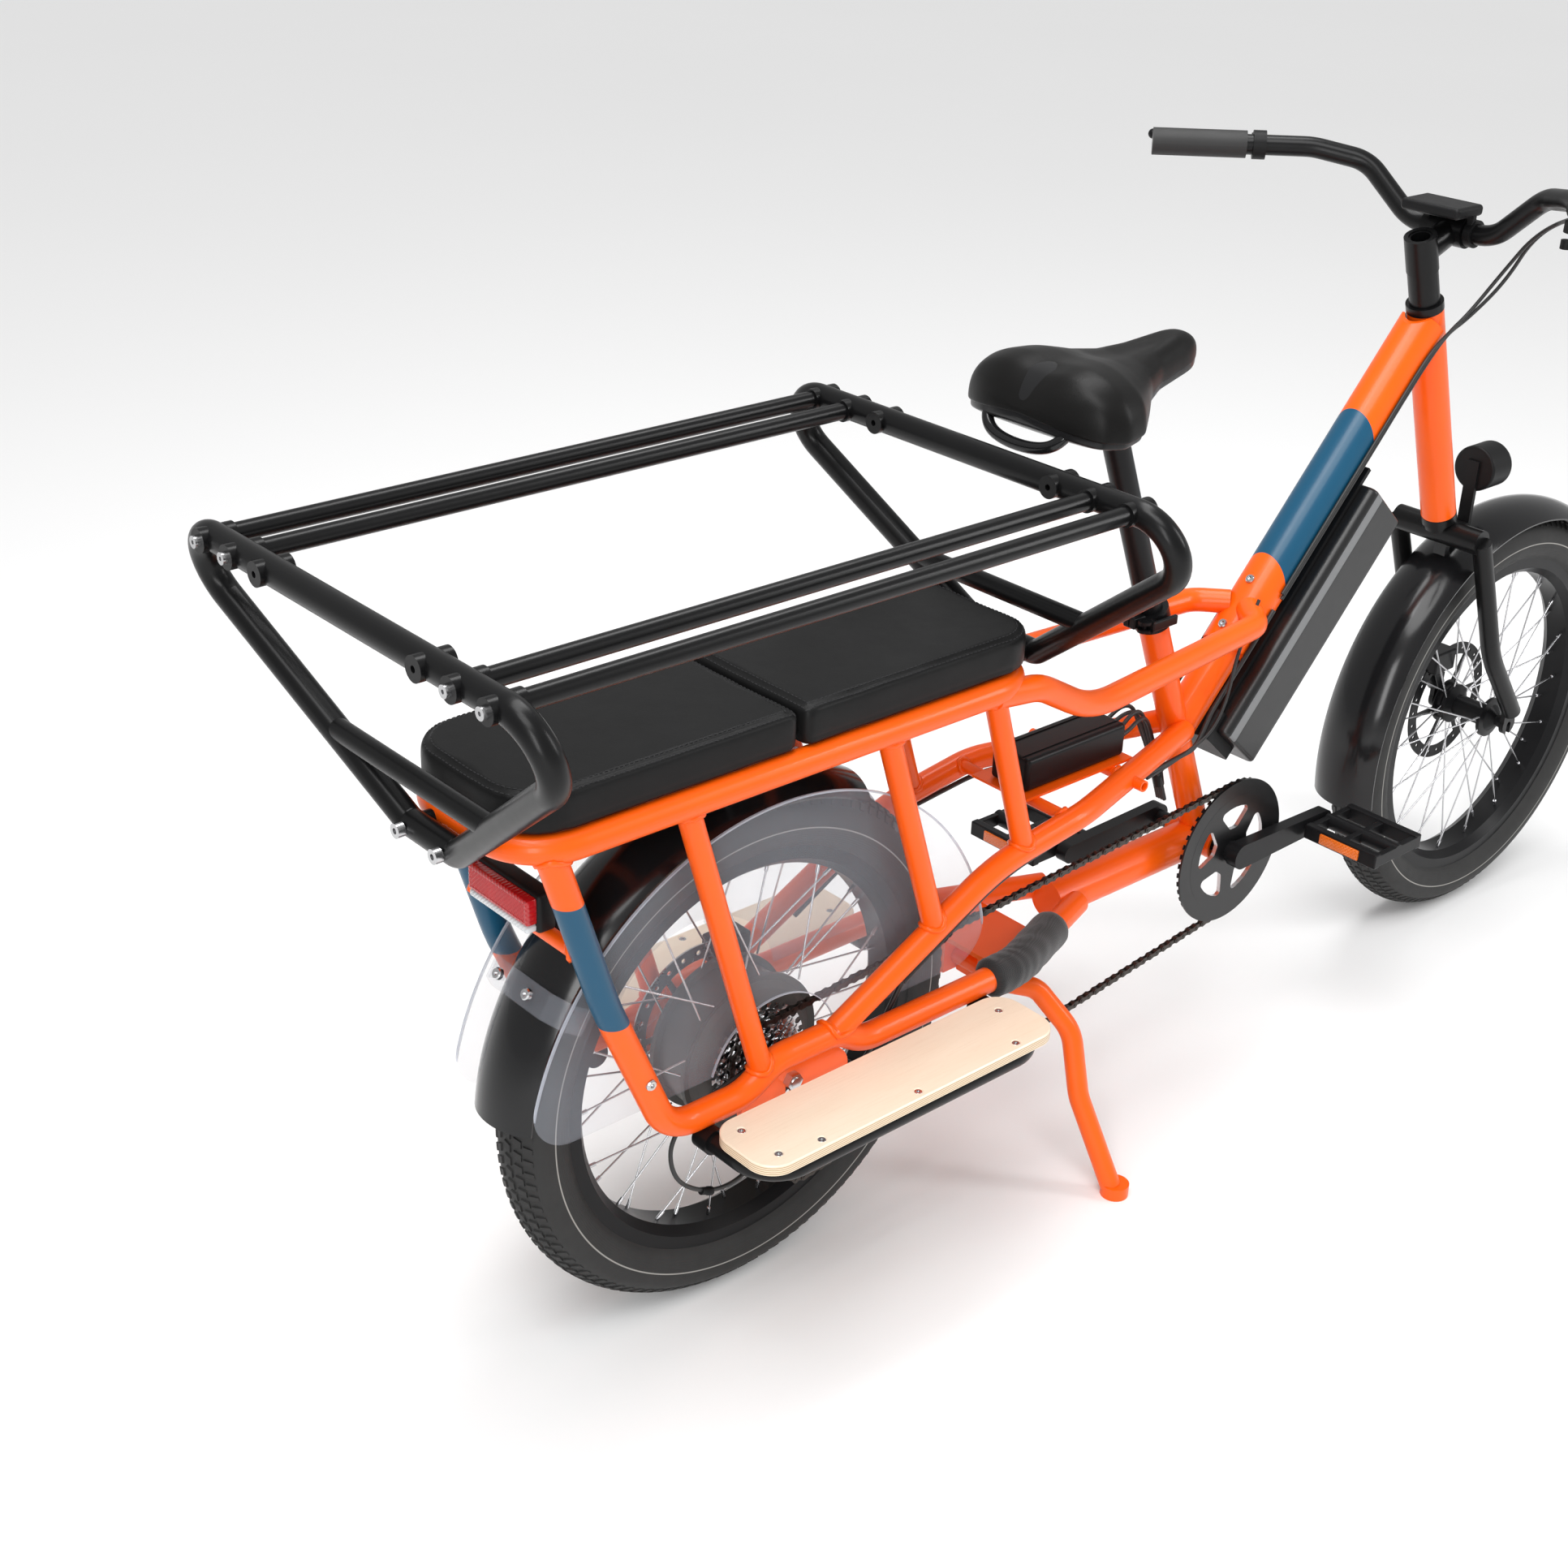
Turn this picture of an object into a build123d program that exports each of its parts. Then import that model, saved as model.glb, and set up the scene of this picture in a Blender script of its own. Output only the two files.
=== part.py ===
"""Long-tail cargo bicycle with a passenger rail, built from separate named pieces.

Millimetres, +X forward, +Y to the rider's left, +Z up.  The origin is on the ground,
at the middle of the bicycle's length.  Lengths in the design are measured from the
rear axle, and at() moves them to that origin.
"""

import math
import os

from build123d import *

os.makedirs("parts", exist_ok=True)

# ---------------------------------------------------------------- driving dimensions
WHEELBASE = 1403.0
TYRE_R = 302.0
TYRE_SECTION = 76.0
TYRE_WALL = 4.5
RIM_TOP_R = 240.0
RIM_BED_R = 233.0
RIM_INNER_R = 215.0
RIM_HALF_W = 27.0
RIM_WALL = 2.5
SPOKE_D = 2.3
SPOKES = 36
SPOKE_LEAD = 16.0
FIT = 0.05
GAP = 0.3

BB_X = 780.0
BB_Z = 300.0
BB_HALF_W = 36.0
BB_R = 21.0
SEAT_ANGLE = 67.1
SEAT_TUBE_D = 36.0
SEAT_TUBE_TOP_Z = 645.0
SEAT_POST_D = 31.6
MAIN_TUBE_D = 60.0
MAIN_ANGLE = 47.9
MAIN_X = 856.0
MAIN_Z = 636.0
HEAD_ANGLE = 69.0
FORK_OFFSET = 45.0
HEAD_TUBE_D = 46.0
HEAD_LOW_Z = 645.0
HEAD_TOP_Z = 938.0
CROWN_Z = 618.0

DECK_Z = 676.0
DECK_HALF_W = 95.0
DECK_REAR_X = -334.0
DECK_FRONT_X = 330.0
DECK_TUBE_D = 30.0
DECK_CORNER_R = 62.0
STAY_Y = 90.0
STAY_D = 30.0
STRUT_D = 25.0
RAIL_Z = 307.0
ARCH_Z = 333.0
BEAM_D = 50.0
BEAM_END_X = 497.0
DROPOUT_INNER_Y = 86.0
DROPOUT_T = 8.0

HOOP_TOP_Z = 909.0
HOOP_REAR_X = -441.0
HOOP_FRONT_X = 303.0
HOOP_REAR_LEAN = -0.315
HOOP_FRONT_LEAN = -0.366
HOOP_TUBE_D = 28.0
HOOP_CORNER_R = 42.0
HOOP_APEX_Y = 350.0
HOOP_SLANT = 1.306
HOOP_FOOT_Z = 672.0
HOOP_BAR_Z = 741.0
SIDE_RAIL_D = 19.0
BOSS_Y = (229.0, 178.0, 127.4)
BOSS_D = 24.0
BOSS_LENGTH = 36.0
BOSS_HOLE_R = 3.3
BOLT_HEAD = 5.0

PAD_BOTTOM_Z = 691.2
PAD_TOP_Z = 735.0
PAD_HALF_W = 102.0
PAD_REAR_X = -345.0
PAD_FRONT_X = 341.0
PAD_SPLIT_X = -6.0

BOARD_TOP_Z = 305.0
BOARD_T = 12.0
BOARD_REAR_X = -128.0
BOARD_FRONT_X = 298.0
BOARD_INNER_Y = 112.0
BOARD_OUTER_Y = 208.0
BOARD_TUBE_D = 22.0

CHAIN_Y = -50.0
LINK_PITCH = 12.7
RING_TEETH = 46
DRIVE_COG = 23
COG_TEETH = (30, 26, 23, 20, 17, 15, 13)
COG_PITCH = 4.7
PULLEY_TEETH = 11
CRANK_LENGTH = 170.0
PEDAL_Y = 145.0

STAND_X = 375.0
STAND_Z = 258.0
STAND_D = 25.0
STAND_FOOT_X = 446.0
STAND_FOOT_Y = 193.0

BATTERY_LENGTH = 365.0
BATTERY_HALF_W = 46.0
BATTERY_DEPTH = 92.0
BATTERY_DROP = 33.5

BAR_HALF_W = 335.0
BAR_D = 25.4
GRIP_D = 34.0

# ---------------------------------------------------------------- derived places
AXLE_Z = TYRE_R
RAIL_BACK_X = HOOP_REAR_X - BOSS_LENGTH / 2 - BOLT_HEAD
MIDDLE_X = (RAIL_BACK_X + WHEELBASE + TYRE_R) / 2
SIDES = (1, -1)


def at(x, y=0.0, z=0.0):
    """A point given from the rear axle, in the bicycle's own frame."""
    return Vector(x - MIDDLE_X, y, z)


def side_name(side):
    return "left" if side > 0 else "right"


# ---------------------------------------------------------------- helpers
def tube(points, outer, wall=0.0, bend=None, closed=False, mode=Mode.ADD):
    """A round tube along straight runs joined by arcs, added to the open part."""
    with BuildLine(mode=Mode.PRIVATE) as route:
        if len(points) == 2:
            Line(*points)
        else:
            FilletPolyline(*points, radius=bend, close=closed)
    path = route.wire()
    with BuildSketch(Plane(origin=path @ 0, z_dir=path % 0), mode=Mode.PRIVATE) as ring:
        Circle(outer / 2)
        if wall:
            Circle(outer / 2 - wall, mode=Mode.SUBTRACT)
    sweep(ring.sketch, path=path, mode=mode)


def bar(start, end, outer, wall=0.0, mode=Mode.ADD):
    """A straight round bar or tube from start to end."""
    run = Vector(*end) - Vector(*start)
    with BuildSketch(Plane(origin=start, z_dir=run), mode=Mode.PRIVATE) as ring:
        Circle(outer / 2)
        if wall:
            Circle(outer / 2 - wall, mode=Mode.SUBTRACT)
    extrude(ring.sketch, amount=run.length, mode=mode)


def block(low, high, edge=0.0, mode=Mode.ADD):
    """A box between two corners, its edges rounded by edge."""
    size = Vector(*high) - Vector(*low)
    middle = (Vector(*high) + Vector(*low)) * 0.5
    with BuildPart(mode=Mode.PRIVATE) as piece:
        with Locations(middle):
            Box(abs(size.X), abs(size.Y), abs(size.Z))
        if edge:
            fillet(piece.edges(), edge)
    add(piece.part, mode=mode)


def outline(points):
    """A filled polygon, added to the open sketch."""
    with BuildLine() as edge:
        Polyline(*points, close=True)
    make_face(edge.edges())


def round_plane(x, z):
    """A plane through a wheel's axis: local X is the radius, local Y is the bicycle's Y."""
    return Plane(origin=at(x, 0, z), x_dir=(0, 0, 1), z_dir=(-1, 0, 0))


def spin_axis(x, z):
    return Axis(at(x, 0, z), (0, 1, 0))


def side_plane(x, y, z):
    """A plane across the bicycle: local X is forward, local Y is up, its normal is -Y."""
    return Plane(origin=at(x, y, z), x_dir=(1, 0, 0), z_dir=(0, -1, 0))


def save(name, piece):
    piece.label = name
    export_step(piece, f"parts/{name}.step")


def seat_axis(z):
    """The seat tube's axis at height z."""
    return at(BB_X - (z - BB_Z) / math.tan(math.radians(SEAT_ANGLE)), 0, z)


def head_axis(z):
    """The steering axis at height z."""
    foot = WHEELBASE - FORK_OFFSET / math.sin(math.radians(HEAD_ANGLE))
    return at(foot - (z - AXLE_Z) / math.tan(math.radians(HEAD_ANGLE)), 0, z)


def along_main(run, drop=0.0, y=0.0):
    """A point run millimetres up the main tube from its reference, drop below its axis."""
    angle = math.radians(MAIN_ANGLE)
    x = MAIN_X + run * math.cos(angle) + drop * math.sin(angle)
    return at(x, y, MAIN_Z + run * math.sin(angle) - drop * math.cos(angle))


def main_run(z):
    return (z - MAIN_Z) / math.sin(math.radians(MAIN_ANGLE))


# ---------------------------------------------------------------- the frame's routes
def side_route(side):
    """Rear strut, bottom bend and lower rail of one side, back to front."""
    return [
        at(-303, side * (STAY_Y - 4), DECK_Z + 4),
        at(-240, side * STAY_Y, 484),
        at(-163, side * STAY_Y, RAIL_Z),
        at(-62, side * STAY_Y, RAIL_Z),
        at(-22, side * STAY_Y, ARCH_Z),
        at(66, side * STAY_Y, ARCH_Z),
        at(106, side * STAY_Y, RAIL_Z),
        at(345, side * STAY_Y, RAIL_Z),
        at(520, side * 28, BB_Z + 3),
    ]


def upper_stay_route(side):
    return [
        at(60, side * STAY_Y, ARCH_Z - 2),
        at(300, side * STAY_Y, 456),
        at(440, side * STAY_Y, 476),
        at(702, side * 18, 478),
    ]


def forward_route(side):
    return [
        at(DECK_FRONT_X - 62, side * (DECK_HALF_W - 1), DECK_Z - 4),
        at(DECK_FRONT_X + 12, side * (DECK_HALF_W - 3), DECK_Z - 14),
        at(440, side * 84, 606),
        at(776, side * 52, 611),
        at(806, side * 14, 613),
    ]


SIDE_BENDS = (400, 52, 60, 60, 60, 60, 150)
UPPER_BENDS = (260, 160)
FORWARD_BENDS = (90, 160, 34)
STRUT_ENDS = (
    (273, 339, 471),
    (118, 209, 404),
    (-144, -36, RAIL_Z + 14),
)


def deck_route():
    w = DECK_HALF_W
    return [
        at(DECK_REAR_X, w, DECK_Z),
        at(DECK_FRONT_X, w, DECK_Z),
        at(DECK_FRONT_X, -w, DECK_Z),
        at(DECK_REAR_X, -w, DECK_Z),
    ]


def yoke_plate(margin):
    """The kickstand's plate between the two lower rails, grown by margin."""
    with BuildPart() as plate:
        with BuildSketch(Plane.XY.offset(BB_Z - 4 - margin)):
            outline([at(338 - margin, 86, 0), at(350, 85, 0), at(430 + margin, 57, 0),
                     at(430 + margin, -57, 0), at(350, -85, 0), at(338 - margin, -86, 0)])
        extrude(amount=6 + 2 * margin)
    return plate.part


# ---------------------------------------------------------------- frame
with BuildPart() as seat_tube:
    bar(seat_axis(BB_Z), seat_axis(SEAT_TUBE_TOP_Z), SEAT_TUBE_D)
    bar(at(BB_X, -BB_HALF_W, BB_Z), at(BB_X, BB_HALF_W, BB_Z), 2 * BB_R)
    bar(seat_axis(BB_Z + 60), seat_axis(SEAT_TUBE_TOP_Z + 5), SEAT_POST_D + 2 * FIT, mode=Mode.SUBTRACT)
    bar(at(BB_X, -60, BB_Z), at(BB_X, 60, BB_Z), 34, mode=Mode.SUBTRACT)
save("seat_tube", seat_tube.part)

with BuildPart() as main_tube:
    bar(along_main(main_run(440)), along_main(main_run(918)), MAIN_TUBE_D, 2.6)
    bar(along_main(main_run(400)), along_main(main_run(560)), MAIN_TUBE_D + 4, mode=Mode.SUBTRACT)
    bar(along_main(main_run(468)), along_main(main_run(560.2)), 46, 2.6)
    with BuildSketch(Plane(origin=along_main(main_run(560)), z_dir=along_main(1) - along_main(0))) as low:
        Circle(MAIN_TUBE_D / 2)
        Circle(20.4, mode=Mode.SUBTRACT)
    extrude(amount=4)
    bar(head_axis(HEAD_LOW_Z), head_axis(HEAD_TOP_Z), HEAD_TUBE_D)
    bar(head_axis(HEAD_LOW_Z - 5), head_axis(HEAD_TOP_Z + 5), HEAD_TUBE_D - 9, mode=Mode.SUBTRACT)
    bar(head_axis(HEAD_TOP_Z), head_axis(HEAD_TOP_Z + 30), 2 * HEAD_TUBE_D, mode=Mode.SUBTRACT)
    bar(seat_axis(300), seat_axis(700), SEAT_TUBE_D, mode=Mode.SUBTRACT)
save("main_tube", main_tube.part)

with BuildPart() as deck_loop:
    tube(deck_route(), DECK_TUBE_D, 2.5, DECK_CORNER_R, closed=True)
save("deck_loop", deck_loop.part)

with BuildPart() as rear_stays:
    for side in SIDES:
        tube(side_route(side), STAY_D, 2.5, SIDE_BENDS)
        with BuildSketch(side_plane(0, side * DROPOUT_INNER_Y, AXLE_Z)) as plate:
            with Locations((8, -15)):
                SlotOverall(150, 62)
            with Locations((22, 14)):
                Rectangle(84, 30)
            Circle(6.4, mode=Mode.SUBTRACT)
        extrude(amount=-side * DROPOUT_T)
    bar(at(BEAM_END_X, 0, BB_Z + 2), at(BB_X, 0, BB_Z), BEAM_D + 0.1, mode=Mode.SUBTRACT)
    tube(deck_route(), DECK_TUBE_D, 0, DECK_CORNER_R, closed=True, mode=Mode.SUBTRACT)
    with BuildSketch(side_plane(0, -150, AXLE_Z)) as slot:
        with Locations((0, -30)):
            Rectangle(12.8, 60)
        Circle(6.4)
    extrude(amount=-300, mode=Mode.SUBTRACT)
save("rear_stays", rear_stays.part)

with BuildPart() as side_stays:
    for side in SIDES:
        tube(upper_stay_route(side), STAY_D - 1, 2.3, UPPER_BENDS)
        tube(forward_route(side), STAY_D, 2.5, FORWARD_BENDS)
    for side in SIDES:
        tube(side_route(side), STAY_D, 0, SIDE_BENDS, mode=Mode.SUBTRACT)
    bar(seat_axis(300), seat_axis(700), SEAT_TUBE_D, mode=Mode.SUBTRACT)
    bar(along_main(-150), along_main(200), MAIN_TUBE_D, mode=Mode.SUBTRACT)
    tube(deck_route(), DECK_TUBE_D, 0, DECK_CORNER_R, closed=True, mode=Mode.SUBTRACT)
save("side_stays", side_stays.part)

with BuildPart() as frame_braces:
    for side in SIDES:
        for top_x, foot_x, foot_z in STRUT_ENDS:
            bar(at(top_x, side * STAY_Y, DECK_Z - 4), at(foot_x, side * STAY_Y, foot_z), STRUT_D, 2.3)
    bar(at(-268, -STAY_Y, 552), at(-268, STAY_Y, 552), 16, 2)
    for x in (-200, 60, 285):
        bar(at(x, -DECK_HALF_W, DECK_Z), at(x, DECK_HALF_W, DECK_Z), 20, 2)
    for x in (415, 545):
        bar(at(x, -STAY_Y, 478), at(x, STAY_Y, 478), 14, 2)
    block(at(392, -42, 484.8), at(578, 42, 488))
    tube(deck_route(), DECK_TUBE_D, 0, DECK_CORNER_R, closed=True, mode=Mode.SUBTRACT)
    for side in SIDES:
        tube(side_route(side), STAY_D, 0, SIDE_BENDS, mode=Mode.SUBTRACT)
        tube(upper_stay_route(side), STAY_D - 1, 0, UPPER_BENDS, mode=Mode.SUBTRACT)
        tube(forward_route(side), STAY_D, 0, FORWARD_BENDS, mode=Mode.SUBTRACT)
save("frame_braces", frame_braces.part)

with BuildPart() as lower_yoke:
    bar(at(BEAM_END_X, 0, BB_Z + 2), at(BB_X, 0, BB_Z), BEAM_D, 3)
    bar(at(BEAM_END_X, 0, BB_Z + 2), at(BEAM_END_X + 5, 0, BB_Z + 2), BEAM_D)
    add(yoke_plate(0))
    for side in SIDES:
        block(at(352, side * 27, STAND_Z - 18), at(400, side * 35, BB_Z - 3))
    bar(at(STAND_X, -60, STAND_Z), at(STAND_X, 60, STAND_Z), 12.1, mode=Mode.SUBTRACT)
    bar(at(BB_X, -60, BB_Z), at(BB_X, 60, BB_Z), 2 * BB_R, mode=Mode.SUBTRACT)
    bar(seat_axis(250), seat_axis(700), SEAT_TUBE_D, mode=Mode.SUBTRACT)
    for side in SIDES:
        tube(side_route(side), STAY_D, 0, SIDE_BENDS, mode=Mode.SUBTRACT)
save("lower_yoke", lower_yoke.part)


# ---------------------------------------------------------------- passenger rail
def hoop_point(front, y, z):
    """A point in the leaning plane of a hoop."""
    base = HOOP_FRONT_X if front else HOOP_REAR_X
    lean = HOOP_FRONT_LEAN if front else HOOP_REAR_LEAN
    return at(base + lean * (z - HOOP_TOP_Z), y, z)


def hoop_half_width(z):
    return HOOP_APEX_Y - HOOP_SLANT * (HOOP_TOP_Z - z)


def make_hoop(front):
    """One closed hoop with its cross bar and the six bosses of its top tube."""
    foot_w = hoop_half_width(HOOP_FOOT_Z)
    corners = [
        hoop_point(front, HOOP_APEX_Y, HOOP_TOP_Z),
        hoop_point(front, -HOOP_APEX_Y, HOOP_TOP_Z),
        hoop_point(front, -foot_w, HOOP_FOOT_Z),
        hoop_point(front, foot_w, HOOP_FOOT_Z),
    ]
    top_radii = [HOOP_CORNER_R, HOOP_CORNER_R, 18, 18]
    cross = hoop_half_width(HOOP_BAR_Z)
    boss_x = HOOP_FRONT_X if front else HOOP_REAR_X
    deck_x = DECK_FRONT_X if front else DECK_REAR_X
    with BuildPart() as hoop:
        tube(corners, HOOP_TUBE_D, 2.5, top_radii, closed=True)
        with BuildPart(mode=Mode.PRIVATE) as inner:
            bar(hoop_point(front, -cross, HOOP_BAR_Z), hoop_point(front, cross, HOOP_BAR_Z), 22, 2.2)
            tube(corners, HOOP_TUBE_D - 1, 0, top_radii, closed=True, mode=Mode.SUBTRACT)
            for side in SIDES:
                y = side * 31.0
                bar(at(deck_x, y, HOOP_FOOT_Z), hoop_point(front, y, HOOP_FOOT_Z), 20)
            tube(deck_route(), DECK_TUBE_D, 0, DECK_CORNER_R, closed=True, mode=Mode.SUBTRACT)
        add(inner.part)
        for side in SIDES:
            for y in BOSS_Y:
                low = at(boss_x - BOSS_LENGTH / 2, side * y, HOOP_TOP_Z)
                high = at(boss_x + BOSS_LENGTH / 2, side * y, HOOP_TOP_Z)
                bar(low, high, BOSS_D)
        for side in SIDES:
            for y in BOSS_Y:
                low = at(boss_x - BOSS_LENGTH / 2 - 1, side * y, HOOP_TOP_Z)
                high = at(boss_x + BOSS_LENGTH / 2 + 1, side * y, HOOP_TOP_Z)
                bar(low, high, 2 * BOSS_HOLE_R, mode=Mode.SUBTRACT)
            y = side * 31.0
            bar(at(boss_x - 200, y, HOOP_FOOT_Z), at(boss_x + 200, y, HOOP_FOOT_Z), 8.2, mode=Mode.SUBTRACT)
    return hoop


rear_hoop = make_hoop(False)
save("rear_hoop", rear_hoop.part)
front_hoop = make_hoop(True)
save("front_hoop", front_hoop.part)

RAIL_START_X = HOOP_REAR_X + BOSS_LENGTH / 2
RAIL_END_X = HOOP_FRONT_X - BOSS_LENGTH / 2
with BuildPart() as side_rails:
    for side in SIDES:
        for y in BOSS_Y[:2]:
            bar(at(RAIL_START_X, side * y, HOOP_TOP_Z), at(RAIL_END_X, side * y, HOOP_TOP_Z), SIDE_RAIL_D, 2)
            for end, turn in ((RAIL_START_X, 1), (RAIL_END_X, -1)):
                bar(at(end, side * y, HOOP_TOP_Z), at(end + turn * 14, side * y, HOOP_TOP_Z), SIDE_RAIL_D)
            for end, turn in ((RAIL_START_X - 1, 1), (RAIL_END_X + 1, -1)):
                deep = at(end + turn * 20, side * y, HOOP_TOP_Z)
                bar(at(end, side * y, HOOP_TOP_Z), deep, 6, mode=Mode.SUBTRACT)
save("side_rails", side_rails.part)


def bolt(head_face, tip, shank_d, head_d, head_t, socket_d):
    """A socket-head bolt whose head sits on head_face and whose shank ends at tip."""
    run = (Vector(*tip) - Vector(*head_face)).normalized()
    top = Vector(*head_face) - run * head_t
    bar(top, head_face, head_d)
    bar(head_face, tip, shank_d)
    bar(top, top + run * head_t * 0.6, socket_d, mode=Mode.SUBTRACT)


with BuildPart() as rail_bolts:
    for side in SIDES:
        for y in BOSS_Y[:2]:
            for end, turn in ((HOOP_REAR_X - BOSS_LENGTH / 2, 1), (HOOP_FRONT_X + BOSS_LENGTH / 2, -1)):
                bolt(at(end, side * y, HOOP_TOP_Z), at(end + turn * (BOSS_LENGTH + 14), side * y, HOOP_TOP_Z),
                     6, 12, BOLT_HEAD, 4)
        y = side * 31.0
        rear_face = hoop_point(False, 0, HOOP_FOOT_Z).X + MIDDLE_X - HOOP_TUBE_D / 2
        front_face = hoop_point(True, 0, HOOP_FOOT_Z).X + MIDDLE_X + HOOP_TUBE_D / 2
        rear_stop = DECK_REAR_X - DECK_TUBE_D / 2
        front_stop = DECK_FRONT_X + DECK_TUBE_D / 2
        bolt(at(rear_face - 0.3, y, HOOP_FOOT_Z), at(rear_stop, y, HOOP_FOOT_Z), 8, 15, 8, 6)
        bolt(at(front_face + 0.3, y, HOOP_FOOT_Z), at(front_stop, y, HOOP_FOOT_Z), 8, 15, 8, 6)
save("rail_bolts", rail_bolts.part)


# ---------------------------------------------------------------- deck pads
def pad_plan(rear_x, front_x, rear_r, front_r):
    """A pad's plan: a rectangle whose rear and front corners are rounded apart."""
    with BuildSketch(Plane.XY.offset(PAD_BOTTOM_Z)) as plan:
        with Locations(((rear_x + front_x) / 2 - MIDDLE_X, 0)):
            Rectangle(front_x - rear_x, 2 * PAD_HALF_W)
        fillet(plan.vertices().group_by(Axis.X)[0], rear_r)
        fillet(plan.vertices().group_by(Axis.X)[-1], front_r)
    return plan.sketch


with BuildPart() as deck_pads:
    extrude(pad_plan(PAD_REAR_X, PAD_SPLIT_X - 0.5, 62, 10), amount=PAD_TOP_Z - PAD_BOTTOM_Z)
    extrude(pad_plan(PAD_SPLIT_X + 0.5, PAD_FRONT_X, 10, 55), amount=PAD_TOP_Z - PAD_BOTTOM_Z)
    fillet(deck_pads.edges().group_by(Axis.Z)[-1], 7)
save("deck_pads", deck_pads.part)


# ---------------------------------------------------------------- running boards
def board_frame_route(side):
    inner = side * (STAY_Y + STAY_D / 2 + 6)
    outer = side * (BOARD_OUTER_Y - 14)
    z = BOARD_TOP_Z - BOARD_T - BOARD_TUBE_D / 2
    return [
        at(BOARD_REAR_X + 12, inner, z),
        at(BOARD_REAR_X + 12, outer, z),
        at(BOARD_FRONT_X - 14, outer, z),
        at(BOARD_FRONT_X - 14, inner, z),
    ]


with BuildPart() as board_frames:
    for side in SIDES:
        tube(board_frame_route(side), BOARD_TUBE_D, 2, 44)
        for x in (BOARD_REAR_X + 12, BOARD_FRONT_X - 14):
            z = BOARD_TOP_Z - BOARD_T - BOARD_TUBE_D / 2
            with BuildPart(mode=Mode.PRIVATE) as socket:
                bar(at(x, side * STAY_Y, z), at(x, side * (STAY_Y + STAY_D / 2 + 6), z), BOARD_TUBE_D + 7)
                tube(side_route(side), STAY_D, 0, SIDE_BENDS, mode=Mode.SUBTRACT)
            add(socket.part)
save("board_frames", board_frames.part)

BOARD_SCREWS = ((BOARD_REAR_X + 30, 188), (BOARD_REAR_X + 80, 197), (88, 197), (BOARD_FRONT_X - 62, 197),
                (BOARD_FRONT_X - 30, 140), (BOARD_REAR_X + 26, 135))
with BuildPart() as running_boards:
    with BuildSketch(Plane.XY.offset(BOARD_TOP_Z - BOARD_T)):
        for side in SIDES:
            with BuildSketch(mode=Mode.PRIVATE) as plan:
                plan_x = (BOARD_REAR_X + BOARD_FRONT_X) / 2 - MIDDLE_X
                plan_y = side * (BOARD_INNER_Y + BOARD_OUTER_Y) / 2
                with Locations((plan_x, plan_y)):
                    RectangleRounded(BOARD_FRONT_X - BOARD_REAR_X, BOARD_OUTER_Y - BOARD_INNER_Y, 30)
            add(plan.sketch)
    extrude(amount=BOARD_T)
    chamfer(running_boards.edges().group_by(Axis.Z)[-1], 1.2)
    screw_places = [(x - MIDDLE_X, side * y, BOARD_TOP_Z) for side in SIDES for x, y in BOARD_SCREWS]
    with Locations(*screw_places):
        CounterSinkHole(radius=2.6, counter_sink_radius=5.5)
save("running_boards", running_boards.part)


# ---------------------------------------------------------------- rear wheel
def make_tyre(x):
    """A tyre whose beads sit between the rim's flanges, with three tread grooves."""
    middle_r = TYRE_R - TYRE_SECTION / 2
    with BuildPart() as tyre:
        with BuildSketch(round_plane(x, AXLE_Z)):
            with Locations((middle_r, 0)):
                Circle(TYRE_SECTION / 2)
                Circle(TYRE_SECTION / 2 - TYRE_WALL, mode=Mode.SUBTRACT)
            with Locations((RIM_BED_R + 0.3 - 40, 0)):
                Rectangle(80, 100, mode=Mode.SUBTRACT)
            for side in SIDES:
                with Locations((RIM_TOP_R + 0.2 - 20, side * (RIM_HALF_W - RIM_WALL - 0.2 + 20))):
                    Rectangle(40, 40, mode=Mode.SUBTRACT)
            with Locations((TYRE_R, 0), (TYRE_R - 2, 14), (TYRE_R - 2, -14)):
                Rectangle(3, 2.4, mode=Mode.SUBTRACT)
        revolve(axis=spin_axis(x, AXLE_Z))
    return tyre


def make_rim(x):
    """A wide double-wall rim: flanges, bed and a hollow box below it."""
    with BuildPart() as rim:
        with BuildSketch(round_plane(x, AXLE_Z)):
            outline([
                (RIM_TOP_R, RIM_HALF_W), (RIM_TOP_R, RIM_HALF_W - RIM_WALL),
                (RIM_BED_R, RIM_HALF_W - RIM_WALL), (RIM_BED_R, 14),
                (RIM_BED_R - 5, 9), (RIM_BED_R - 5, -9), (RIM_BED_R, -14),
                (RIM_BED_R, RIM_WALL - RIM_HALF_W), (RIM_TOP_R, RIM_WALL - RIM_HALF_W),
                (RIM_TOP_R, -RIM_HALF_W), (RIM_INNER_R + 9, -RIM_HALF_W), (RIM_INNER_R, -16),
                (RIM_INNER_R, 16), (RIM_INNER_R + 9, RIM_HALF_W),
            ])
            with Locations((RIM_INNER_R + 6.5, 0)):
                Rectangle(6.5, 26, mode=Mode.SUBTRACT)
        revolve(axis=spin_axis(x, AXLE_Z))
    return rim


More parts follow.
